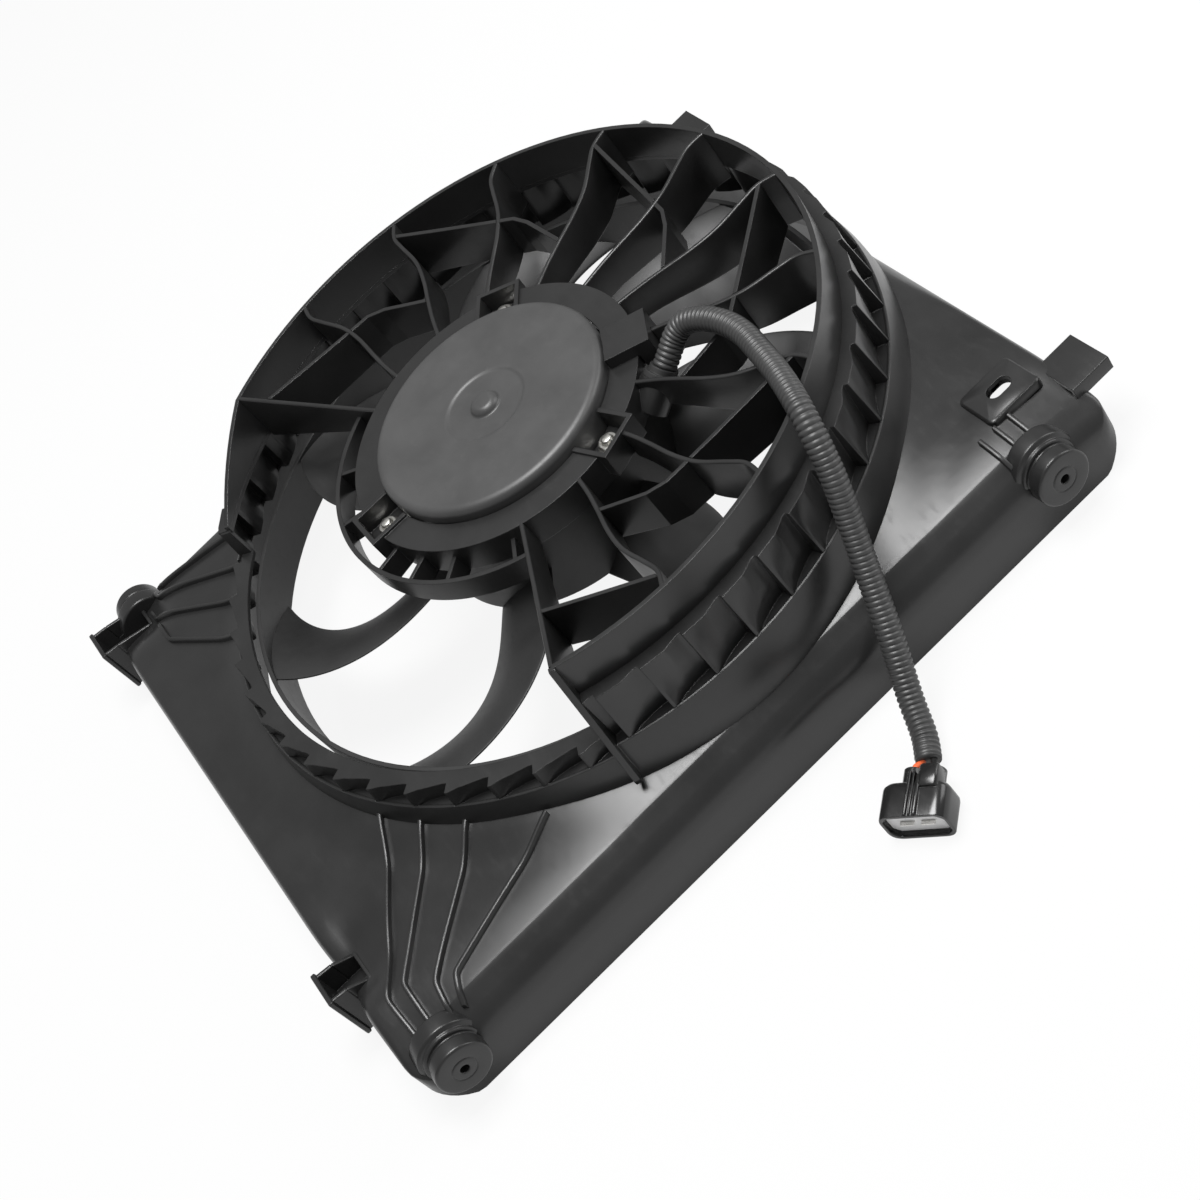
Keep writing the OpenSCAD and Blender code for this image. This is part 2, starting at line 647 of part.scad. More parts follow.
// Height along the chord, from the leading edge at s = 0 to the trailing edge at s = 1
function blade_z(r, s) = band_z + 2 + (band_w - 4) * (s + 0.5 * s * (1 - s)) + (band_r - r) * 0.02;
function blade_half(s) = blade_t / 2 * (0.3 + 1.4 * sqrt(s * (1 - s)));
CHORD = [0, 0.08, 0.2, 0.36, 0.52, 0.68, 0.84, 1];
chord_n = len(CHORD);
function blade_ring(r) = concat(
    [for (s = CHORD) blade_point(r, s, 1)],
    [for (i = [chord_n - 1:-1:0]) blade_point(r, CHORD[i], -1)]);
function blade_point(r, s, side) = let (
    a = lerp(blade_lead(r), blade_trail(r), s), q = polar(r, a))
    [q[0], q[1], blade_z(r, s) + side * blade_half(s)];
blade_stations = 9;
module blade(r0, r1) {
    n = 2 * chord_n;
    rings = [for (k = [0:blade_stations]) blade_ring(lerp(r0, r1, k / blade_stations))];
    pts = [for (ring = rings) for (p = ring) p];
    polyhedron(points = pts, faces = concat(
        [for (k = [0:blade_stations - 1]) for (j = [0:n - 1])
            for (tri = [[k * n + j, k * n + (j + 1) % n, (k + 1) * n + j],
                [(k + 1) * n + j, k * n + (j + 1) % n, (k + 1) * n + (j + 1) % n]]) tri],
        [for (j = [0:chord_n - 2])
            for (tri = [[j + 1, j, n - 1 - j], [j + 1, n - 1 - j, n - 2 - j]]) tri],
        [for (j = [0:chord_n - 2])
            for (tri = [[j, j + 1, n - 1 - j], [n - 1 - j, j + 1, n - 2 - j]])
                tri + [1, 1, 1] * blade_stations * n]));
}
module fan_blades() {
    color(plastic) on_axis() intersection() {
        union() for (i = [0:blade_count - 1])
            rotate([0, 0, blade_phase - i * 360 / blade_count]) blade(hub_r - 1, band_in + 1);
        tube(band_in, hub_r, 0, ring_h);
    }
}
module fan_band() {
    color(plastic) on_axis() tube(band_r, band_in, band_z, band_top);
}

// Motor
knob_r = 7.5;
stack_mid = can_low + 34;
rear_bush_top = ring_h - can_t - 0.8;
module motor_can() {
    color([0.30, 0.31, 0.32]) on_axis() difference() {
        union() {
            rotate_extrude() polygon([[0, can_low], [can_r, can_low], [can_r, ring_h - 4],
                [can_r - 1.2, ring_h - 1.2], [can_r - 4, ring_h], [dish_r + 1, ring_h],
                [dish_r, ring_h - 0.8], [knob_r + 1.5, ring_h - 0.8], [knob_r, ring_h + 2.5],
                [0, ring_h + 3]]);
        }
        translate([0, 0, can_low - 1]) cylinder(r = can_in, h = can_l - can_t - 0.8 + 1);
    }
    color([0.30, 0.31, 0.32]) on_axis() tube(bush_r + 2, bush_r, rear_bush_top - bush_l, rear_bush_top);
}
module motor_end_cover() {
    color(steel) on_axis() difference() {
        union() {
            translate([0, 0, can_low - 3]) cylinder(r = can_r, h = 3);
            translate([0, 0, can_low - 3]) cylinder(r = bush_r + 2, h = bush_l + 2);
        }
        translate([0, 0, can_low - 1]) cylinder(r = bush_r, h = bush_l + 2);
        translate([0, 0, can_low - 4]) cylinder(r = shaft_r + 1.5, h = 10);
    }
}
ear_top = well_floor - 3;
module mounting_ring() {
    color([0.30, 0.31, 0.32]) on_axis() difference() {
        translate([0, 0, ear_top - ear_t]) {
            cylinder(r = can_r + 2.5, h = ear_t);
            for (a = STUD_ANGLES) rotate([0, 0, a]) {
                translate([0, -ear_w / 2, 0]) cube([stud_circle_r, ear_w, ear_t]);
                translate([stud_circle_r, 0, 0]) cylinder(r = ear_w / 2, h = ear_t);
            }
        }
        translate([0, 0, ear_top - ear_t - 1]) cylinder(r = can_r, h = 10);
        for (a = STUD_ANGLES) rotate([0, 0, a]) translate([stud_circle_r, 0, ear_top - ear_t - 1])
            cylinder(r = stud_r, h = 10);
    }
}
stud_low = ear_top - ear_t;
nut_h = 5;
module mounting_studs() {
    color(steel) on_axis() for (a = STUD_ANGLES) rotate([0, 0, a]) translate([stud_circle_r, 0, 0]) {
        translate([0, 0, stud_low]) cylinder(r = stud_r, h = well_floor + nut_h + 2 - stud_low);
        translate([0, 0, stud_low - 1.5]) cylinder(r = stud_r + 2, h = 1.5);
    }
}
module mounting_nuts() {
    color(steel) on_axis() for (a = STUD_ANGLES) rotate([0, 0, a]) translate([stud_circle_r, 0, well_floor]) {
        difference() {
            union() {
                cylinder(r = nut_flats * 0.72, h = 1.4);
                cylinder(r = nut_flats / sqrt(3), h = nut_h, $fn = 6);
            }
            translate([0, 0, -1]) cylinder(r = stud_r, h = nut_h + 2);
        }
    }
}
module magnets() {
    color([0.24, 0.24, 0.25]) on_axis() for (a = [0:90:270]) intersection() {
        tube(can_in, can_in - magnet_t, stack_mid - core_l / 2 - 3, stack_mid + core_l / 2 + 3);
        wedge(a + 8, a + 82);
    }
}
shaft_low = hub_low - 12;
module motor_shaft() {
    color(steel) on_axis() translate([0, 0, shaft_low])
        cylinder(r = shaft_r, h = rear_bush_top - 1 - shaft_low);
}
module bush(z) {
    color([0.72, 0.55, 0.30]) on_axis() tube(bush_r, shaft_r + shaft_clearance, z, z + bush_l);
}
module rear_bush() { bush(rear_bush_top - bush_l); }
module front_bush() { bush(can_low - 1); }
core_r = can_in - magnet_t - air_gap;
// Winding slots: their inner radius, width, and the depth and width of their mouths
slot_in = core_r * 0.53;
slot_w = core_r * 0.11;
slot_lip = core_r * 0.11;
slot_mouth = 2;
slot_l = core_r - slot_in - slot_lip + 2;
module armature_core() {
    color([0.45, 0.46, 0.48]) on_axis() difference() {
        translate([0, 0, stack_mid - core_l / 2]) cylinder(r = core_r, h = core_l);
        translate([0, 0, stack_mid - core_l]) cylinder(r = shaft_r, h = 2 * core_l);
        for (i = [0:slot_count - 1]) rotate([0, 0, i * 360 / slot_count]) {
            translate([slot_in, -slot_w / 2, stack_mid - core_l]) cube([slot_l, slot_w, 2 * core_l]);
            translate([core_r - slot_lip, -slot_mouth / 2, stack_mid - core_l])
                cube([slot_lip + 2, slot_mouth, 2 * core_l]);
        }
    }
}
// The turns over the ends of the core make a rounded ring
turn_r = 3;
turn_in = slot_in - 5;
turn_l = core_r - slot_lip - turn_in - 1;
module end_turns() {
    rotate_extrude() translate([turn_in, 0]) {
        square([turn_l, turn_r]);
        translate([turn_r, 0]) square([turn_l - 2 * turn_r, 2 * turn_r]);
        for (x = [turn_r, turn_l - turn_r]) translate([x, turn_r]) circle(turn_r);
    }
}
module windings() {
    color([0.72, 0.38, 0.18]) on_axis() {
        translate([0, 0, stack_mid + core_l / 2]) end_turns();
        translate([0, 0, stack_mid - core_l / 2]) mirror([0, 0, 1]) end_turns();
        for (i = [0:slot_count - 1]) rotate([0, 0, i * 360 / slot_count])
            translate([slot_in, -slot_w / 2, stack_mid - core_l / 2]) cube([slot_l, slot_w, core_l]);
    }
}
commutator_low = can_low + bush_l + 1;
module commutator() {
    color([0.72, 0.42, 0.22]) on_axis()
        tube(commutator_r, shaft_r, commutator_low, stack_mid - core_l / 2);
}
// Brush card with four holders, each with a brush and its spring
BRUSH_ANGLES = [0, 90, 180, 270];
card_t = 3;
holder_t = 2;
holder_l = 30;
brush_w = 8;
brush_h = 7;
brush_l = 14;
brush_gap = 0.2;
brush_low = can_low + card_t + holder_t;
spring_r = 3;
module brush_card() {
    color([0.45, 0.33, 0.20]) on_axis() {
        tube(can_in, bush_r + 2, can_low, can_low + card_t);
        for (a = BRUSH_ANGLES) rotate([0, 0, a]) difference() {
            translate([commutator_r + 1, -brush_w / 2 - holder_t, can_low + card_t - join])
                cube([holder_l, brush_w + 2 * holder_t, brush_h + 2 * holder_t + join]);
            translate([commutator_r, -brush_w / 2, brush_low])
                cube([holder_l + 1 - holder_t, brush_w, brush_h]);
        }
    }
}
module brushes() {
    color([0.12, 0.12, 0.12]) on_axis() for (a = BRUSH_ANGLES) rotate([0, 0, a])
        translate([commutator_r + brush_gap, -brush_w / 2, brush_low]) cube([brush_l, brush_w, brush_h]);
}
module brush_springs() {
    spring_l = holder_l + 1 - holder_t - brush_gap - brush_l;
    color(steel) on_axis() for (a = BRUSH_ANGLES) rotate([0, 0, a])
        translate([commutator_r + brush_gap + brush_l, 0, brush_low + brush_h / 2]) rotate([0, 90, 0])
            difference() {
                cylinder(r = spring_r, h = spring_l);
                translate([0, 0, -1]) cylinder(r = spring_r - 1, h = spring_l + 2);
            }
}
module fan_nut() {
    color(steel) on_axis() translate([0, 0, hub_low - 6]) difference() {
        union() {
            cylinder(r = 7.5, h = 6, $fn = 6);
            translate([0, 0, 4.6]) cylinder(r = 9, h = 1.4);
        }
        translate([0, 0, -1]) cylinder(r = shaft_r, h = 8);
    }
}

// Cover over the leads where they enter the motor plate
lead_angle = -27.3;
lead_reach = plate_r + 8.5;
lead_w = 23;
lead_t = 6.5;
lead_hang = 9;
module lead_cover() {
    color(plastic) on_axis() difference() {
        rotate([0, 0, lead_angle]) union() {
            translate([plate_hole_r, -lead_w / 2, plate_h - 1])
                cube([lead_reach - plate_hole_r, lead_w, lead_t + 1]);
            translate([plate_r, -lead_w / 2, plate_h - lead_hang])
                cube([lead_reach - plate_r, lead_w, lead_hang + lead_t]);
        }
        cylinder(r = plate_hole_r + 0.2, h = ring_h + 10);
        cylinder(r = plate_r, h = plate_h);
        for (i = [0:last_vane]) translate([0, 0, plate_h - lead_hang - 1]) linear_extrude(lead_hang + 2)
            polygon(strip(vane_path(i), vane_t + 0.4));
    }
}
module cable_grommet() {
    color([0.10, 0.10, 0.10]) on_axis() along_cable(grommet_l) difference() {
        union() {
            cylinder(r = conduit_r + 1, h = grommet_l);
            translate([0, 0, 4]) cylinder(r = conduit_r + 2.6, h = 3);
        }
        translate([0, 0, -1]) cylinder(r = conduit_r - 2, h = grommet_l + 2);
    }
}

// Tube swept along a route, with its first and last ends square to it
function frame_x(d) = unit(cross(abs(d[2]) > 0.95 ? [1, 0, 0] : [0, 0, 1], d));
function ring_at(p, d, r, n) = let (u = frame_x(d), v = cross(d, u))
    [for (j = [0:n - 1]) p + r * (u * cos(j * 360 / n) + v * sin(j * 360 / n))];
module swept_tube(path, r, n) {
    last = len(path) - 1;
    pts = [for (i = [0:last]) for (q = ring_at(path[i], heading(path, i), r, n)) q];
    polyhedron(points = pts, faces = concat(
        [for (i = [0:last - 1]) for (j = [0:n - 1])
            [i * n + j, (i + 1) * n + j, (i + 1) * n + (j + 1) % n, i * n + (j + 1) % n]],
        [[for (j = [0:n - 1]) j], [for (j = [n - 1:-1:0]) last * n + j]]));
}
module conduit() {
    color([0.13, 0.13, 0.13]) on_axis() swept_tube(CABLE_ROUTE, conduit_r, 12);
}

// Connector, in its own frame: +X goes out of its mouth, and it lies on the floor
cable_end = CABLE_ROUTE[len(CABLE_ROUTE) - 1];
connector_turn = -138;
wire_show = 6;
connector_z = shell_h / 2;
module at_connector() {
    on_axis() translate([cable_end[0], cable_end[1], connector_z]) rotate([0, 0, connector_turn])
        translate([wire_show, 0, 0]) children();
}
tail_w = shell_w * 0.66;
tail_h = shell_h * 0.8;
module chamfered(l, w, h, c) {
    rotate([90, 0, 90]) linear_extrude(l) polygon([[-w / 2 + c, -h / 2], [w / 2 - c, -h / 2],
        [w / 2, -h / 2 + c], [w / 2, h / 2 - c], [w / 2 - c, h / 2], [-w / 2 + c, h / 2],
        [-w / 2, h / 2 - c], [-w / 2, -h / 2 + c]]);
}
WIRE_Y = [-5, 5];
// Floor of the mouth behind the lock, counted from the start of the shell
mouth_floor = 8;
mouth_r = 3;
seal_l = 6;
seal_r = 3;
lock_l = 6;
lock_gap = 0.2;
terminal_l = 8;
terminal_w = 6.4;
terminal_t = 0.8;
module wire_bore(x, y, r, l) {
    translate([x, y, 0]) rotate([0, 90, 0]) cylinder(r = r, h = l);
}
module connector_housing() {
    color([0.07, 0.07, 0.07]) at_connector() difference() {
        union() {
            chamfered(tail_l, tail_w, tail_h, 3);
            translate([tail_l, 0, 0]) chamfered(shell_l, shell_w, shell_h, 4);
            for (y = [-3, 0, 3]) translate([tail_l - 6, y - 0.6, shell_h / 2 - 1])
                cube([shell_l + 2, 1.2, 2.2]);
            translate([tail_l - 8, tail_w / 2 - 3, -shell_h / 4]) cube([shell_l, 5, shell_h / 2]);
        }
        translate([tail_l + mouth_floor, 0, 0])
            chamfered(shell_l, shell_w - 2 * shell_t, shell_h - 2 * shell_t, mouth_r);
        for (y = WIRE_Y) wire_bore(-1, y, seal_r, seal_l + 1);
        for (y = WIRE_Y) wire_bore(0, y, wire_r, tail_l + mouth_floor + 1);
    }
}
module connector_lock() {
    edge = shell_t + lock_gap;
    color([0.75, 0.75, 0.72]) at_connector() translate([tail_l + mouth_floor, 0, 0]) difference() {
        chamfered(lock_l, shell_w - 2 * edge, shell_h - 2 * edge, mouth_r);
        for (y = WIRE_Y) translate([-1, y - terminal_w / 2 - lock_gap, -terminal_t / 2 - lock_gap])
            cube([lock_l + 2, terminal_w + 2 * lock_gap, terminal_t + 2 * lock_gap]);
    }
}
module terminals() {
    color(steel) at_connector() for (y = WIRE_Y)
        translate([tail_l + mouth_floor, y - terminal_w / 2, -terminal_t / 2])
            cube([terminal_l, terminal_w, terminal_t]);
}
module wire_seals() {
    color([0.55, 0.16, 0.12]) at_connector() for (y = WIRE_Y) difference() {
        wire_bore(0, y, seal_r, seal_l);
        wire_bore(-1, y, wire_r, seal_l + 2);
    }
}
function wire_path(y) = let (c = cos(connector_turn), s = sin(connector_turn), z = cable_end[2] - connector_z)
    [for (p = [[-1, y * 0.5, z], [1.5, y * 0.62, z * 0.6], [4, y * 0.95, z * 0.1], [6, y, 0], [12, y, 0]])
        [cable_end[0] + p[0] * c - p[1] * s, cable_end[1] + p[0] * s + p[1] * c, connector_z + p[2]]];
module red_wire() {
    color([0.80, 0.22, 0.10]) on_axis() swept_tube(wire_path(WIRE_Y[0]), wire_r, 8);
}
module black_wire() {
    color([0.08, 0.08, 0.08]) on_axis() swept_tube(wire_path(WIRE_Y[1]), wire_r, 8);
}

shroud_pan();
corner_ribs();
locating_pins();
radiator_clips();
ring_base();
ring_wall();
stator_vanes();
vane_ribs();
motor_plate();
fan_hub();
fan_blades();
fan_band();
motor_can();
motor_end_cover();
mounting_ring();
mounting_studs();
mounting_nuts();
magnets();
motor_shaft();
rear_bush();
front_bush();
armature_core();
windings();
commutator();
brush_card();
brushes();
brush_springs();
fan_nut();
lead_cover();
cable_grommet();
conduit();
red_wire();
black_wire();
connector_housing();
connector_lock();
terminals();
wire_seals();
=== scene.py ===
import json
import math
import bmesh
import bpy
import numpy as np
from mathutils import Matrix, Vector


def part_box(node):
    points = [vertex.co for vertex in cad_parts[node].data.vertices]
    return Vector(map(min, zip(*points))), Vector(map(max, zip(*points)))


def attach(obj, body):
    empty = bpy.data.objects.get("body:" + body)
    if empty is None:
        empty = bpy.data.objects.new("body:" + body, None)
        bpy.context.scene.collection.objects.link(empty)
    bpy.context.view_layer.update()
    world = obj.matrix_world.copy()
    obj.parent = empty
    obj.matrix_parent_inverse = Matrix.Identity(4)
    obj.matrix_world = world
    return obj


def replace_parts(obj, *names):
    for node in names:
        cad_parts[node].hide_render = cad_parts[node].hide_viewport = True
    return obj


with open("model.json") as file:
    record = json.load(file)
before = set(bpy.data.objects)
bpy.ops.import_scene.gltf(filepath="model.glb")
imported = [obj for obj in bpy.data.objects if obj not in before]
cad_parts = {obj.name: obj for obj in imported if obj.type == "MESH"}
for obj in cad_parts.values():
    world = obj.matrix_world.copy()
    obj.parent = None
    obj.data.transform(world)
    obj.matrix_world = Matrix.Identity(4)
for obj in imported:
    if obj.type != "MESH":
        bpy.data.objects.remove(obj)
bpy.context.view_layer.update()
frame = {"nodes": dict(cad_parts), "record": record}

mm = 0.001

# the fan's axis, mm, from the motor can's box
canLow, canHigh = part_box("motor_can")
axis = [(canLow[k] + canHigh[k]) / 2 / mm for k in (0, 1)]


# camera
cameraSetup = {
    "place": (-0.0364, -0.8398, 0.7550),
    "aim": (-0.0089, -0.1596, 0.1213),
    "turn": 42.74,      # degrees about the line of sight
    "lens": 63.56,
    "sensor": 36.0,
}


def makeCamera(setup):
    data = bpy.data.cameras.new("photoCamera")
    data.lens = setup["lens"]
    data.sensor_width = setup["sensor"]
    data.clip_start = 0.01
    data.clip_end = 50
    camera = bpy.data.objects.new("photoCamera", data)
    bpy.context.scene.collection.objects.link(camera)
    place = Vector(setup["place"])
    ahead = (Vector(setup["aim"]) - place).normalized()
    level = ahead.cross(Vector((0, 0, 1))).normalized()
    right = Matrix.Rotation(math.radians(setup["turn"]), 3, ahead) @ level
    up = right.cross(ahead)
    turned = Matrix((right, up, -ahead)).transposed().to_4x4()
    camera.matrix_world = Matrix.Translation(place) @ turned
    bpy.context.scene.camera = camera


makeCamera(cameraSetup)
print("camera placed")


# shader expressions
class Val:      # a socket whose operators add Math nodes
    def __init__(self, shade, socket):
        self.shade = shade
        self.socket = socket

    def maths(self, operation, *others):
        values = [self] + list(others)
        return self.shade.node("ShaderNodeMath", {"operation": operation}, dict(enumerate(values)))

    def __add__(self, other): return self.maths("ADD", other)
    def __radd__(self, other): return self.maths("ADD", other)
    def __sub__(self, other): return self.maths("SUBTRACT", other)
    def __rsub__(self, other): return (self * -1).maths("ADD", other)
    def __mul__(self, other): return self.maths("MULTIPLY", other)
    def __rmul__(self, other): return self.maths("MULTIPLY", other)
    def __truediv__(self, other): return self.maths("DIVIDE", other)
    def clamp(self): return self.shade.node("ShaderNodeClamp", {}, {"Value": self})


class Shade:        # a material whose nodes are added by one method
    def __init__(self, name):
        self.material = bpy.data.materials.new(name)
        self.material.use_nodes = True
        self.tree = self.material.node_tree
        self.tree.nodes.clear()
        self.final = self.tree.nodes.new("ShaderNodeOutputMaterial")

    def node(self, kind, settings=None, inputs=None, output=0):
        made = self.tree.nodes.new(kind)
        for key, value in (settings or {}).items():
            if key == "stops":
                ramp = made.color_ramp
                while len(ramp.elements) < len(value):
                    ramp.elements.new(0.5)
                for element, (spot, colour) in zip(ramp.elements, value):
                    element.position = spot
                    element.color = colour
            else:
                setattr(made, key, value)
        for key, value in (inputs or {}).items():
            if isinstance(value, Val):
                self.tree.links.new(value.socket, made.inputs[key])
            else:
                made.inputs[key].default_value = value
        return Val(self, made.outputs[output])

    def place(self):
        return self.node("ShaderNodeTexCoord", output=3)

    def noise(self, size, detail=3.0, rough=0.5, where=None, stretch=(1, 1, 1)):
        spot = where or self.place()
        if stretch != (1, 1, 1):
            spot = self.node("ShaderNodeMapping", {}, {"Vector": spot, "Scale": stretch})
        sockets = {"Vector": spot, "Scale": 1 / size, "Detail": detail, "Roughness": rough}
        return self.node("ShaderNodeTexNoise", {}, sockets)

    def ramp(self, value, low, high):
        sockets = {0: value, 1: low, 2: high, 3: 0.0, 4: 1.0}
        return self.node("ShaderNodeMapRange", {}, sockets)

    def blend(self, factor, one, other):
        return self.node("ShaderNodeMix", {"data_type": "RGBA"}, {0: factor, 6: one, 7: other}, output=2)

    def finish(self, sockets):
        surface = self.node("ShaderNodeBsdfPrincipled", {}, sockets)
        self.tree.links.new(surface.socket, self.final.inputs[0])
        return self.material


def grey(level, warmth=0.0):
    return (level * (1 + warmth), level, level * (1 - warmth), 1.0)


# moulded plastic: a fine grain, faint mottling and slightly burnished patches
def mouldedPlastic(name, level, rough, grain=0.35 * mm, grainDepth=0.012, edge=0.7 * mm, scuff=0.25):
    shade = Shade(name)
    mottle = shade.ramp(shade.noise(30 * mm, 4), 0.3, 0.7)
    dust = shade.ramp(shade.noise(6 * mm, 6, 0.7), 0.55, 0.8)
    colour = shade.blend(mottle, grey(level * 0.85), grey(level * 1.15))
    colour = shade.blend(dust * 0.12, colour, grey(level * 2.6, 0.03))
    scuffs = shade.ramp(shade.noise(4 * mm, 5, 0.65, stretch=(1, 0.25, 1)), 0.52, 0.75)
    roughness = (rough - scuff * 0.12 + mottle * 0.05 + scuffs * scuff * 0.3).clamp()
    round_ = shade.node("ShaderNodeBevel", {"samples": 4}, {"Radius": edge})
    grains = shade.noise(grain, 2, 0.6)
    sockets = {"Height": grains, "Strength": 1.0, "Distance": grainDepth * mm, "Normal": round_}
    bump = shade.node("ShaderNodeBump", {}, sockets)
    return shade.finish({"Base Color": colour, "Roughness": roughness, "Normal": bump})


# coated or bare metal with fine brushing and small marks
def metal(name, colour, rough, metallic=1.0, brushing=(1, 1, 1), edge=0.3 * mm, depth=0.01):
    shade = Shade(name)
    marks = shade.noise(1.2 * mm, 4, 0.6, stretch=brushing)
    stain = shade.ramp(shade.noise(9 * mm, 5, 0.6), 0.35, 0.7)
    dark = tuple(c * 0.72 for c in colour[:3]) + (1,)
    tint = shade.blend(stain * 0.6, colour, dark)
    roughness = (rough - 0.05 + marks * 0.1 + stain * 0.08).clamp()
    round_ = shade.node("ShaderNodeBevel", {"samples": 4}, {"Radius": edge})
    sockets = {"Height": marks, "Strength": 1.0, "Distance": depth * mm, "Normal": round_}
    bump = shade.node("ShaderNodeBump", {}, sockets)
    return shade.finish({"Base Color": tint, "Roughness": roughness, "Metallic": metallic, "Normal": bump})


finishes = {
    "shroud_plastic": mouldedPlastic("shroudPlastic", 0.015, 0.31, grainDepth=0.005),
    "fan_plastic": mouldedPlastic("fanPlastic", 0.019, 0.45, grainDepth=0.008),
    "motor_paint": mouldedPlastic("motorPaint", 0.046, 0.42, grain=0.6 * mm, grainDepth=0.004, edge=0.5 * mm),
    "zinc_steel": metal("zincSteel", (0.75, 0.74, 0.70, 1), 0.28),
    "plain_steel": metal("plainSteel", (0.52, 0.52, 0.53, 1), 0.35),
    "ferrite": mouldedPlastic("ferriteGrey", 0.06, 0.7),
    "core_steel": metal("coreSteel", (0.4, 0.4, 0.42, 1), 0.45, brushing=(1, 1, 8)),
    "copper": metal("copperWire", (0.72, 0.32, 0.14, 1), 0.3, brushing=(1, 1, 4)),
    "bronze": metal("bronzeBush", (0.6, 0.42, 0.22, 1), 0.4),
    "carbon": mouldedPlastic("brushCarbon", 0.02, 0.6),
    "card": mouldedPlastic("cardBrown", 0.12, 0.6),
    "conduit_plastic": mouldedPlastic("conduitPlastic", 0.034, 0.42, grainDepth=0.004, edge=0.2 * mm),
    "grommet_rubber": mouldedPlastic("grommetRubber", 0.018, 0.6),
    "connector_plastic": mouldedPlastic("connectorPlastic", 0.012, 0.2, grainDepth=0.002, edge=0.5 * mm),
    "lock_plastic": mouldedPlastic("lockPlastic", 0.86, 0.45, grainDepth=0.004, edge=0.3 * mm),
    "tinned_contact": metal("tinnedContact", (0.8, 0.79, 0.76, 1), 0.25),
    "seal_rubber": mouldedPlastic("sealRubber", 0.1, 0.5),
}


def wireInsulation(name, colour):
    shade = Shade(name)
    wear = shade.ramp(shade.noise(1.5 * mm, 4, 0.6), 0.4, 0.7)
    tint = shade.blend(wear * 0.3, colour, tuple(c * 0.7 for c in colour[:3]) + (1,))
    bump = shade.node("ShaderNodeBump", {}, {"Height": wear, "Strength": 0.5, "Distance": 0.01 * mm})
    return shade.finish({"Base Color": tint, "Roughness": 0.4 - wear * 0.08, "Normal": bump})


finishes["red_insulation"] = wireInsulation("redInsulation", (0.75, 0.13, 0.04, 1))
finishes["black_insulation"] = wireInsulation("blackInsulation", (0.012, 0.012, 0.012, 1))


def dress(piece, slotName):
    piece.data.materials.clear()
    piece.data.materials.append(finishes[slotName])


for entry in frame["record"]["subparts"]:
    dress(frame["nodes"][entry["node"]], entry["material_slot"])
print("materials made")


# meshes from numpy grids
def meshPiece(name, points, faces, slotName, body="root"):
    mesh = bpy.data.meshes.new(name)
    mesh.from_pydata(np.asarray(points).reshape(-1, 3).tolist(), [], faces)
    mesh.update()
    mesh.shade_smooth()
    piece = bpy.data.objects.new(name, mesh)
    bpy.context.scene.collection.objects.link(piece)
    piece.data.materials.append(finishes[slotName])
    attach(piece, body)
    return piece


def gridFaces(rows, cols, closedRows=False, closedCols=False):
    i = np.arange(rows if closedRows else rows - 1)[:, None]
    j = np.arange(cols if closedCols else cols - 1)[None, :]
    a = i * cols + j
    b = i * cols + (j + 1) % cols
    c = ((i + 1) % rows) * cols + (j + 1) % cols
    d = ((i + 1) % rows) * cols + j
    return np.stack([a, b, c, d], axis=-1).reshape(-1, 4).tolist()


# an outline with its corners rounded: each corner becomes an arc of a quadratic curve
def softOutline(points, radius, steps=4, closed=True):
    p = np.asarray(points, float)
    count = len(p)
    out = []
    for k in range(count):
        if not closed and k in (0, count - 1):
            out.append(p[k])
            continue
        before, here, after = p[k - 1], p[k], p[(k + 1) % count]
        toBefore, toAfter = before - here, after - here
        reach = min(radius, 0.45 * np.linalg.norm(toBefore), 0.45 * np.linalg.norm(toAfter))
        start = here + toBefore / np.linalg.norm(toBefore) * reach
        end = here + toAfter / np.linalg.norm(toAfter) * reach
        t = np.linspace(0, 1, steps + 1)[:, None]
        out.extend((1 - t) ** 2 * start + 2 * t * (1 - t) * here + t ** 2 * end)
    return np.array(out)


# points about an upright axis: [r cos a, r sin a, z]
def turned(r, turn, z, centre=axis):
    across = [centre[0] + r * np.cos(turn), centre[1] + r * np.sin(turn)]
    return np.stack(across + [z + 0 * r * turn], axis=-1)


def fullTurn(sides):
    return np.linspace(0, 2 * np.pi, sides, endpoint=False)


def sharpen(piece, degrees=32):
    piece.data.set_sharp_from_angle(angle=math.radians(degrees))
    return piece


def outward(piece):
    work = bmesh.new()
    work.from_mesh(piece.data)
    bmesh.ops.remove_doubles(work, verts=work.verts, dist=1e-6)
    bmesh.ops.recalc_face_normals(work, faces=work.faces)
    work.to_mesh(piece.data)
    work.free()
    return piece


def joinGrids(name, grids, slotName, body="root", degrees=32, closedRows=False):
    points, faces, base = [], [], 0
    for grid in grids:
        rows, cols = grid.shape[:2]
        faces += [[base + k for k in f] for f in gridFaces(rows, cols, closedRows, closedCols=True)]
        if not closedRows:
            faces.append([base + k for k in range(cols)][::-1])
            faces.append([base + (rows - 1) * cols + k for k in range(cols)])
        points.append(grid.reshape(-1, 3))
        base += rows * cols
    piece = meshPiece(name, np.vstack(points), faces, slotName, body)
    return sharpen(outward(piece), degrees)


# a smooth line through given points: each span is a Catmull-Rom cubic
def smoothLine(points, perSpan):
    p = np.asarray(points, float)
    ends = np.vstack([2 * p[0] - p[1], p, 2 * p[-1] - p[-2]])
    t = (np.arange(perSpan) / perSpan)[None, :, None]
    a, b, c, d = [ends[k:k + len(p) - 1, None, :] for k in range(4)]
    spans = 0.5 * (2 * b + (c - a) * t + (2 * a - 5 * b + 4 * c - d) * t ** 2
                   + (3 * b - a - 3 * c + d) * t ** 3)
    return np.vstack([spans.reshape(-1, 3), p[-1:]])


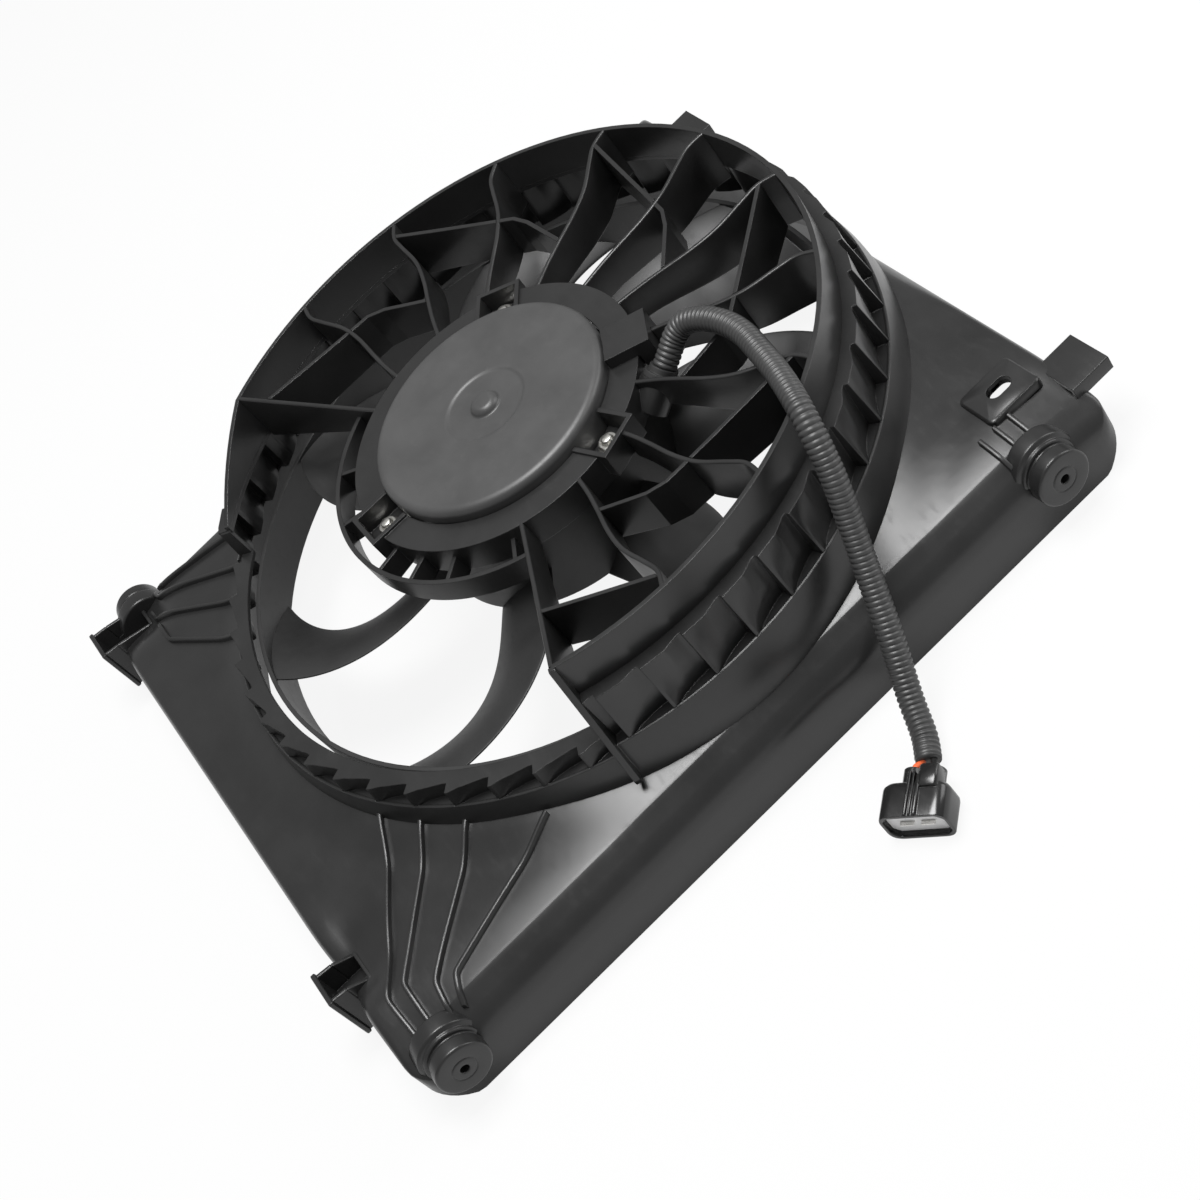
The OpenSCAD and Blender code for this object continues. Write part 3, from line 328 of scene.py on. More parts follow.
# the same line with its points an even step apart
def evenLine(line, step):
    gaps = np.linalg.norm(np.diff(line, axis=0), axis=1)
    run = np.concatenate([[0], np.cumsum(gaps)])
    count = max(2, int(round(run[-1] / step)) + 1)
    spots = np.linspace(0, run[-1], count)
    return np.stack([np.interp(spots, run, line[:, k]) for k in range(3)], axis=1), spots


# unit vectors square to a flat line, to its left
def sideways(line):
    ahead = np.gradient(line, axis=0)
    ahead /= np.linalg.norm(ahead, axis=1)[:, None]
    return np.column_stack([-ahead[:, 1], ahead[:, 0]])


# a tube round a line: centre + radius * (side * cos + up * sin), with a radius for each ring
def tubePoints(line, radii, sides):
    ahead = np.gradient(line, axis=0)
    ahead /= np.linalg.norm(ahead, axis=1)[:, None]
    side = np.cross(np.array([0.0, 0.0, 1.0]), ahead)
    side /= np.linalg.norm(side, axis=1)[:, None]
    up = np.cross(ahead, side)
    turn = np.linspace(0, 2 * np.pi, sides, endpoint=False)[None, :, None]
    ring = side[:, None, :] * np.cos(turn) + up[:, None, :] * np.sin(turn)
    return line[:, None, :] + radii[:, None, None] * ring


# studs and nuts in the wells: hexagonal flange nuts with chamfered corners, rolled threads on the studs
nuts = {
    "angles": [179, 55, -69], "circle": 76.0, "floor": 104.5, "flats": 10.0, "height": 5.0, "sides": 96,
    "flangeRadius": 7.2, "flangeHeight": 1.4, "bore": 3.0, "chamferRadius": 4.7, "chamferFall": 0.577,
    "turn": [12, 38, 71],
    "studRadius": 3.0, "studLow": 98.5, "studHead": 5.0, "studHeadHeight": 1.5, "studTip": 2.0, "studSides": 32,
    "pitch": 1.0, "threadDepth": 0.45,
}


def wellCentre(angle):
    at = math.radians(angle)
    return axis[0] + nuts["circle"] * math.cos(at), axis[1] + nuts["circle"] * math.sin(at)


# the hexagon's radius at angle a is (flats / 2) / cos(a taken within 30 degrees of a flat's middle);
# its top falls by chamferFall per mm outside the chamfer's circle
def makeNuts(spec):
    a = fullTurn(spec["sides"])
    height, bore, chamfer = spec["height"], spec["bore"], spec["chamferRadius"]
    flange, thick = spec["flangeRadius"], spec["flangeHeight"]
    grids = []
    for angle, turn in zip(spec["angles"], spec["turn"]):
        within = np.mod(a - np.radians(turn) + np.pi / 6, np.pi / 3) - np.pi / 6
        hexagon = spec["flats"] / 2 / np.cos(within)
        top = height - np.clip(hexagon - chamfer, 0, None) * spec["chamferFall"]
        rows = [(bore, 0), (bore, height - 0.5), (bore + 0.5, height), (chamfer, height), (hexagon, top),
                (hexagon + 0.02, thick + 0.1), (np.maximum(hexagon + 0.05, flange - 0.8), thick - 0.1),
                (flange, thick * 0.6), (flange, 0)]
        grids.append(np.stack([turned(r, a, spec["floor"] + z, wellCentre(angle)) for r, z in rows]) * mm)
    piece = joinGrids("flangeNuts", grids, "zinc_steel", degrees=25, closedRows=True)
    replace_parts(piece, "mounting_nuts")


# a thread as a spiral: radius = outer - depth * triangle(z / pitch - a / full turn)
def makeStuds(spec):
    a = fullTurn(spec["studSides"])[None, :]
    thick, low, floor = spec["studRadius"], spec["studLow"], spec["floor"]
    top = floor + spec["height"] + spec["studTip"]
    z = np.arange(floor + 1, top - 0.1, spec["pitch"] / 6)[:, None]
    wave = np.abs(np.mod(z / spec["pitch"] - a / (2 * np.pi), 1) * 2 - 1)
    radius = np.minimum(thick - spec["threadDepth"] * wave, thick - 0.6 + (top - z))
    plain = np.array([(spec["studHead"], low - spec["studHeadHeight"]), (spec["studHead"], low),
                      (thick, low + 0.01), (thick, floor + 0.8)])
    r = np.vstack([plain[:, :1] + 0 * a, radius, thick - 0.75 + 0 * a])
    h = np.vstack([plain[:, 1:] + 0 * a, z + 0 * a, top + 0 * a])
    grids = [turned(r, a, h, wellCentre(angle)) * mm for angle in spec["angles"]]
    piece = joinGrids("threadedStuds", grids, "zinc_steel", degrees=40)
    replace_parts(piece, "mounting_studs")


makeNuts(nuts)
makeStuds(nuts)
print("nuts and studs made")


# the connector's own axes: x from the cable's end towards the mouth, y across the wires, z up
plug = {"end": (24, -261), "turn": -138.0, "middle": 10.0}


def plugPlace(points):
    turn = math.radians(plug["turn"])
    axes = [(math.cos(turn), math.sin(turn), 0), (-math.sin(turn), math.cos(turn), 0), (0, 0, 1)]
    origin = np.array([plug["end"][0] + axis[0], plug["end"][1] + axis[1], plug["middle"]])
    return (origin + np.asarray(points, float) @ np.array(axes)) * mm


# the two wires between the cable cover and the connector; each point of the run gives x,
# the share of the wire's offset across, and z
wires = {
    "radius": 1.6, "offsets": {"red_wire": -5, "black_wire": 5}, "step": 0.6, "sides": 20,
    "finishes": {"red_wire": "red_insulation", "black_wire": "black_insulation"},
    "run": [(-1, 0.5, -2), (1.5, 0.62, -1.2), (4, 0.95, -0.2), (6, 1, 0), (12, 1, 0)],
}


def makeWires(spec):
    pieces = []
    for nodeName, offset in spec["offsets"].items():
        route = plugPlace([(x, offset * share, z) for x, share, z in spec["run"]])
        line = evenLine(smoothLine(route, 8), spec["step"] * mm)[0]
        tube = tubePoints(line, np.full(len(line), spec["radius"] * mm), spec["sides"])
        piece = joinGrids(nodeName.replace("_w", "W"), [tube], spec["finishes"][nodeName])
        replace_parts(piece, nodeName)
        pieces.append(piece)
    return pieces


wirePieces = makeWires(wires)


# connector housing: two round wire tubes, a latch box and a shell with a rounded outside
housing = {
    "wireShow": 6.0, "wireY": [-5.0, 5.0], "tubeRadius": [4.6, 5.2], "sealRadius": 3.0, "tubeSides": 40,
    "tail": 11.0, "length": 28.0, "width": 32.0, "height": 20.0, "thick": 1.8, "round": 6.5, "roundSteps": 10,
    "mouthFloor": 19.0, "mouthChamfer": 3.0,
    # latch box and ridges on the top: x and y from and to, top above the shell, softening
    "latch": (3.0, 14.0, 2.5, 11.5, 1.6, 1.6),
    "ridges": [(8.0, 27.5, 1.6, 3.4, 1.4, 0.8), (6.0, 27.5, -2.6, -1.2, 1.2, 0.6),
               (6.0, 27.5, -0.5, 0.5, 0.9, 0.4)],
}


def boxGrid(x0, x1, y0, y1, z0, z1, soft):
    outline = softOutline([(y0, z0), (y1, z0), (y1, z1), (y0, z1)], soft, 3)
    mid = outline.mean(axis=0)
    rows = [(x0, 0.9), (x0 + soft * 0.5, 1.0), (x1 - soft * 0.5, 1.0), (x1, 0.9)]
    return np.stack([np.column_stack([x + 0 * outline[:, 0], mid + (outline - mid) * s]) for x, s in rows])


def makeHousing(spec):
    w, h = spec["width"] / 2, spec["height"] / 2
    outer = softOutline([(-w, -h), (w, -h), (w, h), (-w, h)], spec["round"], spec["roundSteps"])
    v, k, e = w - spec["thick"], h - spec["thick"], spec["mouthChamfer"]
    eight = [(-v, -k + e), (-v + e, -k), (v - e, -k), (v, -k + e),
             (v, k - e), (v - e, k), (-v + e, k), (-v, k - e)]
    inner = softOutline(eight, 0.8, 5)
    # the inner outline gets as many points as the outer one, matched by direction
    way = np.arctan2(outer[:, 1] / h, outer[:, 0] / w)
    wayIn = np.arctan2(inner[:, 1] / k, inner[:, 0] / v)
    order = np.argsort(wayIn)
    wayIn, inner = wayIn[order], inner[order]
    around = np.concatenate([wayIn - 2 * np.pi, wayIn, wayIn + 2 * np.pi])
    matched = np.column_stack([np.interp(way, around, np.tile(values, 3)) for values in inner.T])
    tail, length = spec["tail"], spec["length"]
    rows = [(tail - 1.5, outer * 0.72), (tail - 0.4, outer * 0.9), (tail + 1.2, outer * 0.985),
            (tail + 2.5, outer), (length - 0.6, outer), (length, outer * 0.985),
            (length, matched * 1.02), (length - 0.5, matched), (spec["mouthFloor"], matched)]
    grids = [np.stack([np.column_stack([x + 0 * o[:, 0], o]) for x, o in rows])]
    turn = fullTurn(spec["tubeSides"])
    seal = spec["sealRadius"]
    for y, radius in zip(spec["wireY"], spec["tubeRadius"]):
        steps = [(5.0, seal), (0.0, seal), (0.0, radius - 0.5), (0.5, radius), (tail + 3, radius)]
        rings = [np.column_stack([x + 0 * turn, y + r * np.cos(turn), r * np.sin(turn)]) for x, r in steps]
        grids.append(np.stack(rings))
    x0, x1, y0, y1, rise, soft = spec["latch"]
    grids.append(boxGrid(x0, x1, y0, y1, 2.0, h + rise, soft))
    for x0, x1, y0, y1, rise, soft in spec["ridges"]:
        grids.append(boxGrid(x0, x1, y0, y1, h - 2.0, h + rise, soft))
    placed = [plugPlace(grid + np.array([spec["wireShow"], 0, 0])) for grid in grids]
    piece = joinGrids("connectorShell", placed, "connector_plastic", degrees=40)
    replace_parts(piece, "connector_housing")
    return piece


shell = makeHousing(housing)
print("connector made")


# cable: the corrugated cover and its route, from the grommet to the connector; each pitch is a
# rounded ridge between narrow grooves: radius = outer - groove (1 - |sin(pi s / pitch)|^0.45)
cable = {
    "route": [(72, -61, 109), (78, -61, 113), (85, -61, 118), (92, -65, 123), (98, -76, 126),
              (102, -90, 127), (103, -104, 127), (101, -120, 127), (97, -142, 128), (91, -165, 129),
              (86, -178, 121), (80, -188, 104), (72, -196, 82.4), (63, -206, 61.8), (52, -220, 40),
              (39, -236, 18), (31, -250, 9), (24, -261, 8)],
    "radius": 6.2 * mm, "groove": 1.1 * mm, "pitch": 2.7 * mm, "pitchSteps": 8, "sides": 24,
}


def makeConduit(spec):
    route = (np.array(spec["route"]) + np.array([*axis, 0])) * mm
    line, spots = evenLine(smoothLine(route, 12), spec["pitch"] / spec["pitchSteps"])
    ridge = np.abs(np.sin(np.pi * spots / spec["pitch"])) ** 0.45
    radii = spec["radius"] - spec["groove"] * (1 - ridge)
    points = tubePoints(line, radii, spec["sides"])
    sides = spec["sides"]
    faces = gridFaces(len(line), sides, closedCols=True)
    count = len(line) * sides
    last = count - sides
    faces += [[count, (k + 1) % sides, k] for k in range(sides)]
    faces += [[count + 1, last + k, last + (k + 1) % sides] for k in range(sides)]
    body = np.vstack([points.reshape(-1, 3), line[0], line[-1]])
    piece = meshPiece("conduitCover", body, [f[::-1] for f in faces], "conduit_plastic")
    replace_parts(piece, "conduit")
    held = [frame["nodes"][n] for n in ("connector_lock", "terminals", "wire_seals")] + [shell] + wirePieces


makeConduit(cable)
print("cable made")


# raised base round the ring: a lip, then the sawtooth wall, then a flat roof up to the ring
ringBase = {
    "innerRadius": 180.5, "footRadius": 198.0, "footLow": 37.0, "crown": 54.0, "wall": 2.5,
    # sectors: angles from and to, roof height and height of the ledge at the teeth's foot
    "sectors": [(-111.5, 119.0, 100.0, 70.0), (119.0, 141.0, 94.5, 70.0), (141.0, 248.5, 74.5, 64.0)],
    "lipRadius": 194.6, "lip": [(-2.0, 0.0), (-1.6, 0.7), (-0.8, 1.0), (0.0, 0.6), (0.2, -0.3)],
    "toothCount": 50, "toothPhase": -101.9, "fullHeight": 30.0, "levels": 9, "sharpAngle": 14,
    "toothParts": [0, 0.03, 0.06, 0.12, 0.2, 0.3, 0.4, 0.5, 0.55, 0.6, 0.7, 0.8, 0.88, 0.93, 0.985],
    "topShape": [(0, 190.4), (0.55, 190.4), (0.88, 188.1), (0.985, 188.0)],
    "lowShape": [(0, 194.2), (0.06, 194.0), (0.3, 190.6), (0.58, 188.4), (0.88, 187.3), (0.985, 187.3)],
    # boards in planes through the axis: angle, thickness, outline in radius and height
    "boards": [
        (-111.5, 3.2, [(179.0, 73.0), (193.0, 63.0), (196.5, 53.0), (203.0, 50.5), (203.5, 53.5),
                       (184.2, 121.2), (183.2, 121.6), (181.6, 121.6), (181.6, 100.0)]),
        (141.0, 2.5, [(181.2, 72.0), (187.0, 72.0), (187.0, 63.0), (193.4, 62.0), (193.6, 69.4),
                      (189.6, 70.0), (187.8, 94.0), (181.2, 94.0)]),
        (119.0, 2.5, [(181.2, 92.5), (187.8, 92.5), (187.8, 99.4), (181.2, 99.4)]),
    ],
}


def boardGrid(angle, thick, outline):
    turn = math.radians(angle)
    r, z = np.array(outline, float).T
    off = thick / 2 * np.array([-math.sin(turn), math.cos(turn), 0])
    middle = turned(r, turn, z)
    return np.stack([middle - off, middle + off]) * mm


# angles of one sector with the tooth's radius at its foot and at its top, as it is at full height
def toothLine(spec, start, end):
    pitch = 360 / spec["toothCount"]
    parts = np.array(spec["toothParts"])
    first = math.floor((start - spec["toothPhase"]) / pitch)
    last = math.ceil((end - spec["toothPhase"]) / pitch)
    index = np.arange(first, last + 1)[:, None]
    angle = (spec["toothPhase"] + (index + parts[None, :]) * pitch).ravel()
    keep = (angle > start) & (angle < end)
    lines = [np.concatenate([[start], angle[keep], [end]])]
    for shape in (spec["lowShape"], spec["topShape"]):
        radius = np.tile(np.interp(parts, *np.array(shape, float).T), len(index))[keep]
        lines.append(np.concatenate([radius[:1], radius, radius[-1:]]))
    return lines


# each sector is one closed loop of rows: roof, tooth wall, lip and foot outside, then back inside;
# the tooth's radius goes from its top shape to its low shape down the wall
def makeRingBase(spec):
    wall, lip, foot = spec["wall"], spec["lipRadius"], spec["footRadius"]
    points, faces, base = [], [], 0
    for start, end, roof, ledge in spec["sectors"]:
        angle, lowR, topR = toothLine(spec, start, end)
        share = (roof - ledge) / spec["fullHeight"]
        highR = lowR + (topR - lowR) * share
        outer = [(spec["innerRadius"], roof)]
        inner = [(spec["innerRadius"], roof - wall)]
        for level in np.linspace(0, 1, spec["levels"]):
            radius = highR + (lowR - highR) * level
            height = ledge + (roof - ledge) * (1 - level)
            outer.append((radius, height))
            inner.append((radius - wall, height - wall))
        below = [(lip + out, ledge + rise) for out, rise in spec["lip"]]
        below += [(foot - 1, (ledge + spec["crown"]) / 2 - 2), (foot, spec["crown"] - 4), (foot, spec["footLow"])]
        for radius, height in below:
            outer.append((np.maximum(radius, lowR + 0.1), height))
            inner.append((radius - wall, max(height - wall, spec["footLow"])))
        turn = np.radians(angle)
        grid = np.stack([turned(r, turn, z) for r, z in outer + inner[::-1]], axis=1) * mm
        rows, cols = grid.shape[:2]
        faces += [[base + k for k in f] for f in gridFaces(rows, cols, closedCols=True)]
        for row in (0, rows - 1):
            at = base + row * cols
            faces += [[at + k, at + k + 1, at + cols - 2 - k, at + cols - 1 - k] for k in range(len(outer) - 1)]
        points.append(grid.reshape(-1, 3))
        base += rows * cols
    for angle, thick, outline in spec["boards"]:
        grid = boardGrid(angle, thick, outline)
        rows, cols = grid.shape[:2]
        faces += [[base + k for k in f] for f in gridFaces(rows, cols, closedCols=True)]
        faces += [[base + k for k in range(cols)], [base + cols + k for k in range(cols)]]
        points.append(grid.reshape(-1, 3))
        base += rows * cols
    piece = meshPiece("sawtoothBase", np.vstack(points), faces, "shroud_plastic")
    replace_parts(sharpen(outward(piece), spec["sharpAngle"]), "ring_base")


makeRingBase(ringBase)
print("sawtooth base made")


# shroud pan: a shallow box with a rolled edge, and a crown that rises to the ring's base
pan = {
    "half": (219.0, 210.5), "height": 46.0, "wall": 2.5, "edge": 10.0, "corner": 12.0,
    "crownRise": 8.0, "crownWidth": 23.0, "crownCurve": 1.2, "baseRadius": 198.0, "holeRadius": 196.8,
    "blend": 2.5, "cornerCut": 16.0, "cutDepth": 8.0, "cutRun": 14.0,
    "pad": (192.0, -168.5), "padHalf": (16.0, 13.5), "padTop": 49.0, "padFoot": 44.5, "padRound": 4.0,
    "slot": (193.0, -167.5), "slotRadius": 4.3, "slotRun": 5.0, "cutLevels": (30.0, 60.0),
    # long sides: inset and drop of the crease, rise of the slope above it, then the band below it
    "crease": 14.5, "creaseDrop": 2.8, "slopeRise": 0.34, "slopeBlend": 6.0, "band": 7.0, "bandTilt": 38.0,
    "falls": [(-219, 210.5), (-219, -210.5), (219, -210.5)], "fallDepth": 7.0, "fallReach": 52.0,
    "fallFrom": 20.0,
    # dished places round the left clips: inner end, middle, half width
    "dishes": [(-197.0, 192.0, 9.5), (-208.0, -136.0, 8.0)], "dishDepth": 7.5, "dishReach": 15.0,
    # mesh: rays round the axis, rows over the crown, then rows at these insets from the wall
    "rays": 720, "reach": (150, 340), "crownRows": 16, "crownBunch": 1.3, "underShare": 60.0,
    "rowInsets": [46, 41, 36, 31, 27, 23, 19, 16.5, 14.6, 14.4, 12.5, 10.7, 9, 7.2, 6.8, 5.4, 4.2, 3.1, 2.2,
                  1.4, 0.7, 0.25],
}


# distance inwards from the outline of a rounded rectangle
def panInset(x, y):
    qx = np.abs(x) - (pan["half"][0] - pan["corner"])
    qy = np.abs(y) - (pan["half"][1] - pan["corner"])
    outside = np.hypot(np.maximum(qx, 0), np.maximum(qy, 0)) + np.minimum(np.maximum(qx, qy), 0)
    return pan["corner"] - outside


# smooth minimum: the lower of two heights, rounded over a blend k
def softLower(a, b, k):
    h = np.clip(0.5 + 0.5 * (b - a) / k, 0, 1)
    return b + (a - b) * h - k * h * (1 - h)


# the back falls towards three corners by a smooth step, and round the clips by a bell curve
def panFall(x, y):
    total = 0 * x
    for cx, cy in pan["falls"]:
        near = np.clip(1 - np.hypot(x - cx, y - cy) / pan["fallReach"], 0, 1)
        total = total + pan["fallDepth"] * near * near * (3 - 2 * near)
    for inner, middle, half in pan["dishes"]:
        along = np.maximum(x - inner, 0)
        beside = np.maximum(np.abs(y - middle) - half, 0)
        bell = np.exp(-(along ** 2 + beside ** 2) / pan["dishReach"] ** 2)
        total = np.maximum(total, pan["dishDepth"] * bell)
    return total


# the long sides: a slope falls to the crease, then a steeper band, then an arc down to the wall
def sideCap(inset):
    tilt = math.radians(pan["bandTilt"])
    crease, band = pan["crease"], pan["band"]
    top = pan["height"] - pan["creaseDrop"] + pan["slopeRise"] * (inset - crease)
    low = pan["height"] - pan["creaseDrop"] - (crease - band) * math.tan(tilt)
    strip = low + (inset - band) * math.tan(tilt)
    radius = band / (1 - math.sin(tilt))
    sine = np.clip(1 - inset / radius, 0, 1)
    arc = low - radius * (math.cos(tilt) - np.sqrt(1 - sine ** 2))
    return np.where(inset > crease, top, np.where(inset > band, strip, arc))


# height of the pan's skin: the rolled edge is a quarter circle of the inset, the crown rises as a
# power of the nearness to the base, and the higher of the two is taken; the long sides' slope and
# band cut it lower, and the falls take from it in full at the back and not below fallFrom
def panHeight(x, y, inner=0.0):
    inset = panInset(x, y) - inner
    low = pan["height"] - pan["edge"]

    def roll(edge):
        depth = edge - np.clip(inset, 0, edge)
        return low + np.sqrt(np.maximum(edge ** 2 - depth ** 2, 0))

    flat = roll(pan["edge"] - inner)
    r = np.hypot(x - axis[0], y - axis[1])
    near = np.clip((pan["baseRadius"] + pan["crownWidth"] - r) / pan["crownWidth"], 0, 1.1)
    crown = pan["height"] - inner + pan["crownRise"] * near ** pan["crownCurve"]
    crown = softLower(crown, roll(pan["edge"] + pan["crownRise"] - inner), pan["blend"])
    tall = -softLower(-flat, -crown, pan["blend"])
    side = sideCap(pan["half"][1] - np.abs(y) - inner) - inner
    tall = softLower(side, tall, pan["slopeBlend"])
    share = np.clip((tall - pan["fallFrom"]) / (pan["height"] - pan["fallFrom"]), 0, 1)
    return tall - panFall(x, y) * share


# lower edge of the walls: level, but cut at 45 degrees by the four corners
def panFoot(x, y):
    cut = np.maximum(pan["cornerCut"] - (pan["half"][0] - np.abs(x)), 0)
    inwards = (pan["half"][1] - np.abs(y) - pan["cutDepth"]) / pan["cutRun"]
    return cut * np.clip(1 - inwards, 0, 1)


def cutAway(piece, cutter):
    change = piece.modifiers.new("cut", "BOOLEAN")
    change.operation = "DIFFERENCE"
    change.solver = "EXACT"
    change.object = cutter
    bpy.context.view_layer.update()
    shape = piece.evaluated_get(bpy.context.evaluated_depsgraph_get())
    mesh = bpy.data.meshes.new_from_object(shape)
    piece.modifiers.clear()
    piece.data = mesh


# an upright block: the outline at each level, moved in towards its middle by that level's amount
def prism(outline, levels, shrink):
    x, y = np.array(outline, float).T
    mid = np.array([x.mean(), y.mean()])
    size = np.hypot(x - mid[0], y - mid[1])
    rows = []
    for z, less in zip(levels, shrink):
        share = 1 - less / size
        plan = [mid[0] + (x - mid[0]) * share, mid[1] + (y - mid[1]) * share]
        rows.append(np.stack(plan + [z + 0 * x], axis=-1))
    return np.stack(rows) * mm


# a beam along x whose low and top levels go from one pair to the other, with softened edges
def beamGrid(x0, x1, y0, y1, first, last=None, soft=0.7):
    less = 0.6 * soft
    near = less / abs(x1 - x0)
    rows = []
    for share, inwards in ((0, less), (near, 0), (1 - near, 0), (1, less)):
        low, top = [a + (b - a) * share for a, b in zip(first, last or first)]
        ya, yb, za, zb = y0 + inwards, y1 - inwards, low + inwards, top - inwards
        ring = softOutline([(ya, za), (yb, za), (yb, zb), (ya, zb)], soft, 3)
        rows.append(np.column_stack([x0 + (x1 - x0) * share + 0 * ring[:, 0], ring]))
    return np.stack(rows) * mm


# the pan's skin and its underside on rays from the fan's axis; each ray has rows bunched towards the
# hole over the crown, then rows at given insets from the wall, so the rolled edge and the crease
# follow the mesh; the radius of an inset is read from fine steps along the ray
def panSkin(spec):
    halfX, halfY = spec["half"]
    cutEnd = halfY - spec["cutDepth"]
    marks = [math.atan2(sy * (cutEnd + d), sx * halfX - axis[0])
             for sx in (-1, 1) for sy in (-1, 1) for d in (-spec["cutRun"], 0)]
    turns = np.sort(np.concatenate([fullTurn(spec["rays"]), np.mod(marks, 2 * np.pi)]))
    fine = np.arange(*spec["reach"], 0.25)
    insets = [panInset(axis[0] + fine * math.cos(a), axis[1] + fine * math.sin(a)) for a in turns]
    rows = np.array(spec["rowInsets"])
    crown = (np.arange(spec["crownRows"]) / spec["crownRows"]) ** spec["crownBunch"]
    hole = spec["holeRadius"]
    skins = []
    for inner in (0.0, spec["wall"]):
        levels = inner + rows * (1 - inner / spec["underShare"])
        rays = []
        for values in insets:
            edge = np.interp(-inner, -values, fine)
            far = np.interp(-levels, -values, fine)
            close = hole + max(far[0] - hole, 0) * crown
            rays.append(np.clip(np.concatenate([close, far, [edge]]), hole, edge))
        skin = turned(np.array(rays).T, turns, 0)
        skin[..., 2] = panHeight(skin[..., 0], skin[..., 1], inner)
        skins.append(skin)
    return skins


def makePan(spec):
    top, under = panSkin(spec)
    rim, rimIn = top[-1], under[-1]
    foot, footIn = panFoot(rim[:, 0], rim[:, 1]), panFoot(rimIn[:, 0], rimIn[:, 1])
    walls = []
    for share in (0.5, 1.0):
        row = rim.copy()
        row[:, 2] += (foot + 0.4 - rim[:, 2]) * share
        walls.append(row)
    low, lowIn = rim.copy(), rimIn.copy()
    low[:, :2] += (rimIn - rim)[:, :2] * 0.2
    low[:, 2], lowIn[:, 2] = foot, footIn
    grid = np.concatenate([top, np.array(walls), low[None], lowIn[None], under[::-1]]) * mm
    piece = joinGrids("shroudPanShell", [grid], "shroud_plastic", degrees=50, closedRows=True)
    cx, cy = spec["slot"]
    turn = np.linspace(-np.pi / 2, np.pi / 2, 17)
    oval = []
    for way in (1, -1):
        spots = way * spec["slotRadius"] * np.column_stack([np.cos(turn), np.sin(turn)])
        oval += (spots + np.array([cx + way * spec["slotRun"] / 2, cy])).tolist()
    cutter = joinGrids("slotCutter", [prism(oval, spec["cutLevels"], (0, 0))], "shroud_plastic")
    px, py = spec["pad"]
    hx, hy = spec["padHalf"]
    plan = softOutline([(px - hx, py - hy), (px + hx, py - hy), (px + hx, py + hy), (px - hx, py + hy)],
                       spec["padRound"], 6)
    padGrid = prism(plan, (spec["padFoot"], spec["padTop"] - 0.7, spec["padTop"]), (0, 0.5, 1.4))
    pad = joinGrids("slotPad", [padGrid], "shroud_plastic", degrees=35)
    for each in (piece, pad):
        cutAway(each, cutter)
    pockets = [beamGrid(inner + 2, -232, middle - half, middle + half, spec["cutLevels"])
               for inner, middle, half in spec["dishes"]]
    pocketCutter = joinGrids("pocketCutter", pockets, "shroud_plastic")
    cutAway(piece, pocketCutter)
    work = bmesh.new()
    work.from_mesh(piece.data)
    work.from_mesh(pad.data)
    work.to_mesh(piece.data)
    work.free()
    for spare in (pad, cutter, pocketCutter):
        bpy.data.objects.remove(spare)
    piece.data.shade_smooth()
    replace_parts(sharpen(piece, 40), "shroud_pan")


makePan(pan)
print("pan made")


# corner ribs: each path is given by its distances from the pan's end and from its long side
cornerRibs = {
    "lower": [[(65, 123), (14.5, 38), (14.5, 9)], [(79, 100), (25, 38), (23, 9)],
              [(95, 78), (37, 26), (33, 9)], [(126, 47), (47, 22), (40, 9)]],
    "upper": [[(65, 117), (28.5, 66), (28.5, 48)], [(81, 93), (28.5, 37), (27.5, 24)],
              [(99, 73), (36.5, 22), (35, 9)], [(124, 41), (42, 16), (39, 9)]],
    "right": [[(34, 28), (34, 8)], [(43, 28), (43, 8)], [(52, 28), (52, 8)]],
    "height": 3.0, "thickness": 2.2, "step": 2.0,
}


# the rib's top follows the pan's skin: top = skin + height, foot = skin - 1.5
def makeCornerRibs(spec):
    half, high = spec["thickness"] / 2, spec["height"]
    across = np.array([(half + 0.2, -1.5), (half, high - 0.3), (half - 0.3, high),
                       (0.3 - half, high), (-half, high - 0.3), (-half - 0.2, -1.5)])
    grids = []
    corners = [("lower", -1, -1), ("upper", -1, 1), ("right", 1, -1)]
    for name, sx, sy in corners:
        for path in spec[name]:
            spots = [(sx * (pan["half"][0] - a), sy * (pan["half"][1] - b), 0) for a, b in path]
            plan = softOutline(spots, 2, 4, closed=False)
            line = evenLine(plan, spec["step"])[0]
            side = sideways(line[:, :2])
            skin = panHeight(line[:, 0], line[:, 1])
            xy = line[:, None, :2] + side[:, None, :] * across[None, :, :1]
            z = skin[:, None] + across[None, :, 1]
            grids.append(np.concatenate([xy, z[:, :, None]], axis=-1) * mm)
    piece = joinGrids("panCornerRibs", grids, "shroud_plastic", degrees=50)
    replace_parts(piece, "corner_ribs")


makeCornerRibs(cornerRibs)


# locating pins: turned steps on the long walls, with a ring round the blind hole
pins = {
    "spots": [(-197.5, -1), (180.0, -1), (-197.5, 1), (180.0, 1)], "height": 29.0, "wall": 210.5, "sides": 96,
    "steps": [(0.01, -14.5), (16.8, -14.5), (17.6, -13.7), (17.6, -5.2), (16.4, -4.2), (15.4, -3.9),
              (15.4, -2.4), (14.9, -1.9), (13.2, -1.6), (13.2, -0.2), (14.0, 0.1), (14.4, 0.6), (14.4, 7.0),
              (13.5, 7.9), (6.9, 7.9), (6.6, 7.6), (6.2, 7.6), (5.9, 8.0), (2.7, 8.0), (2.3, 7.6), (2.3, 0.5),
              (0.01, 0.5)],
}


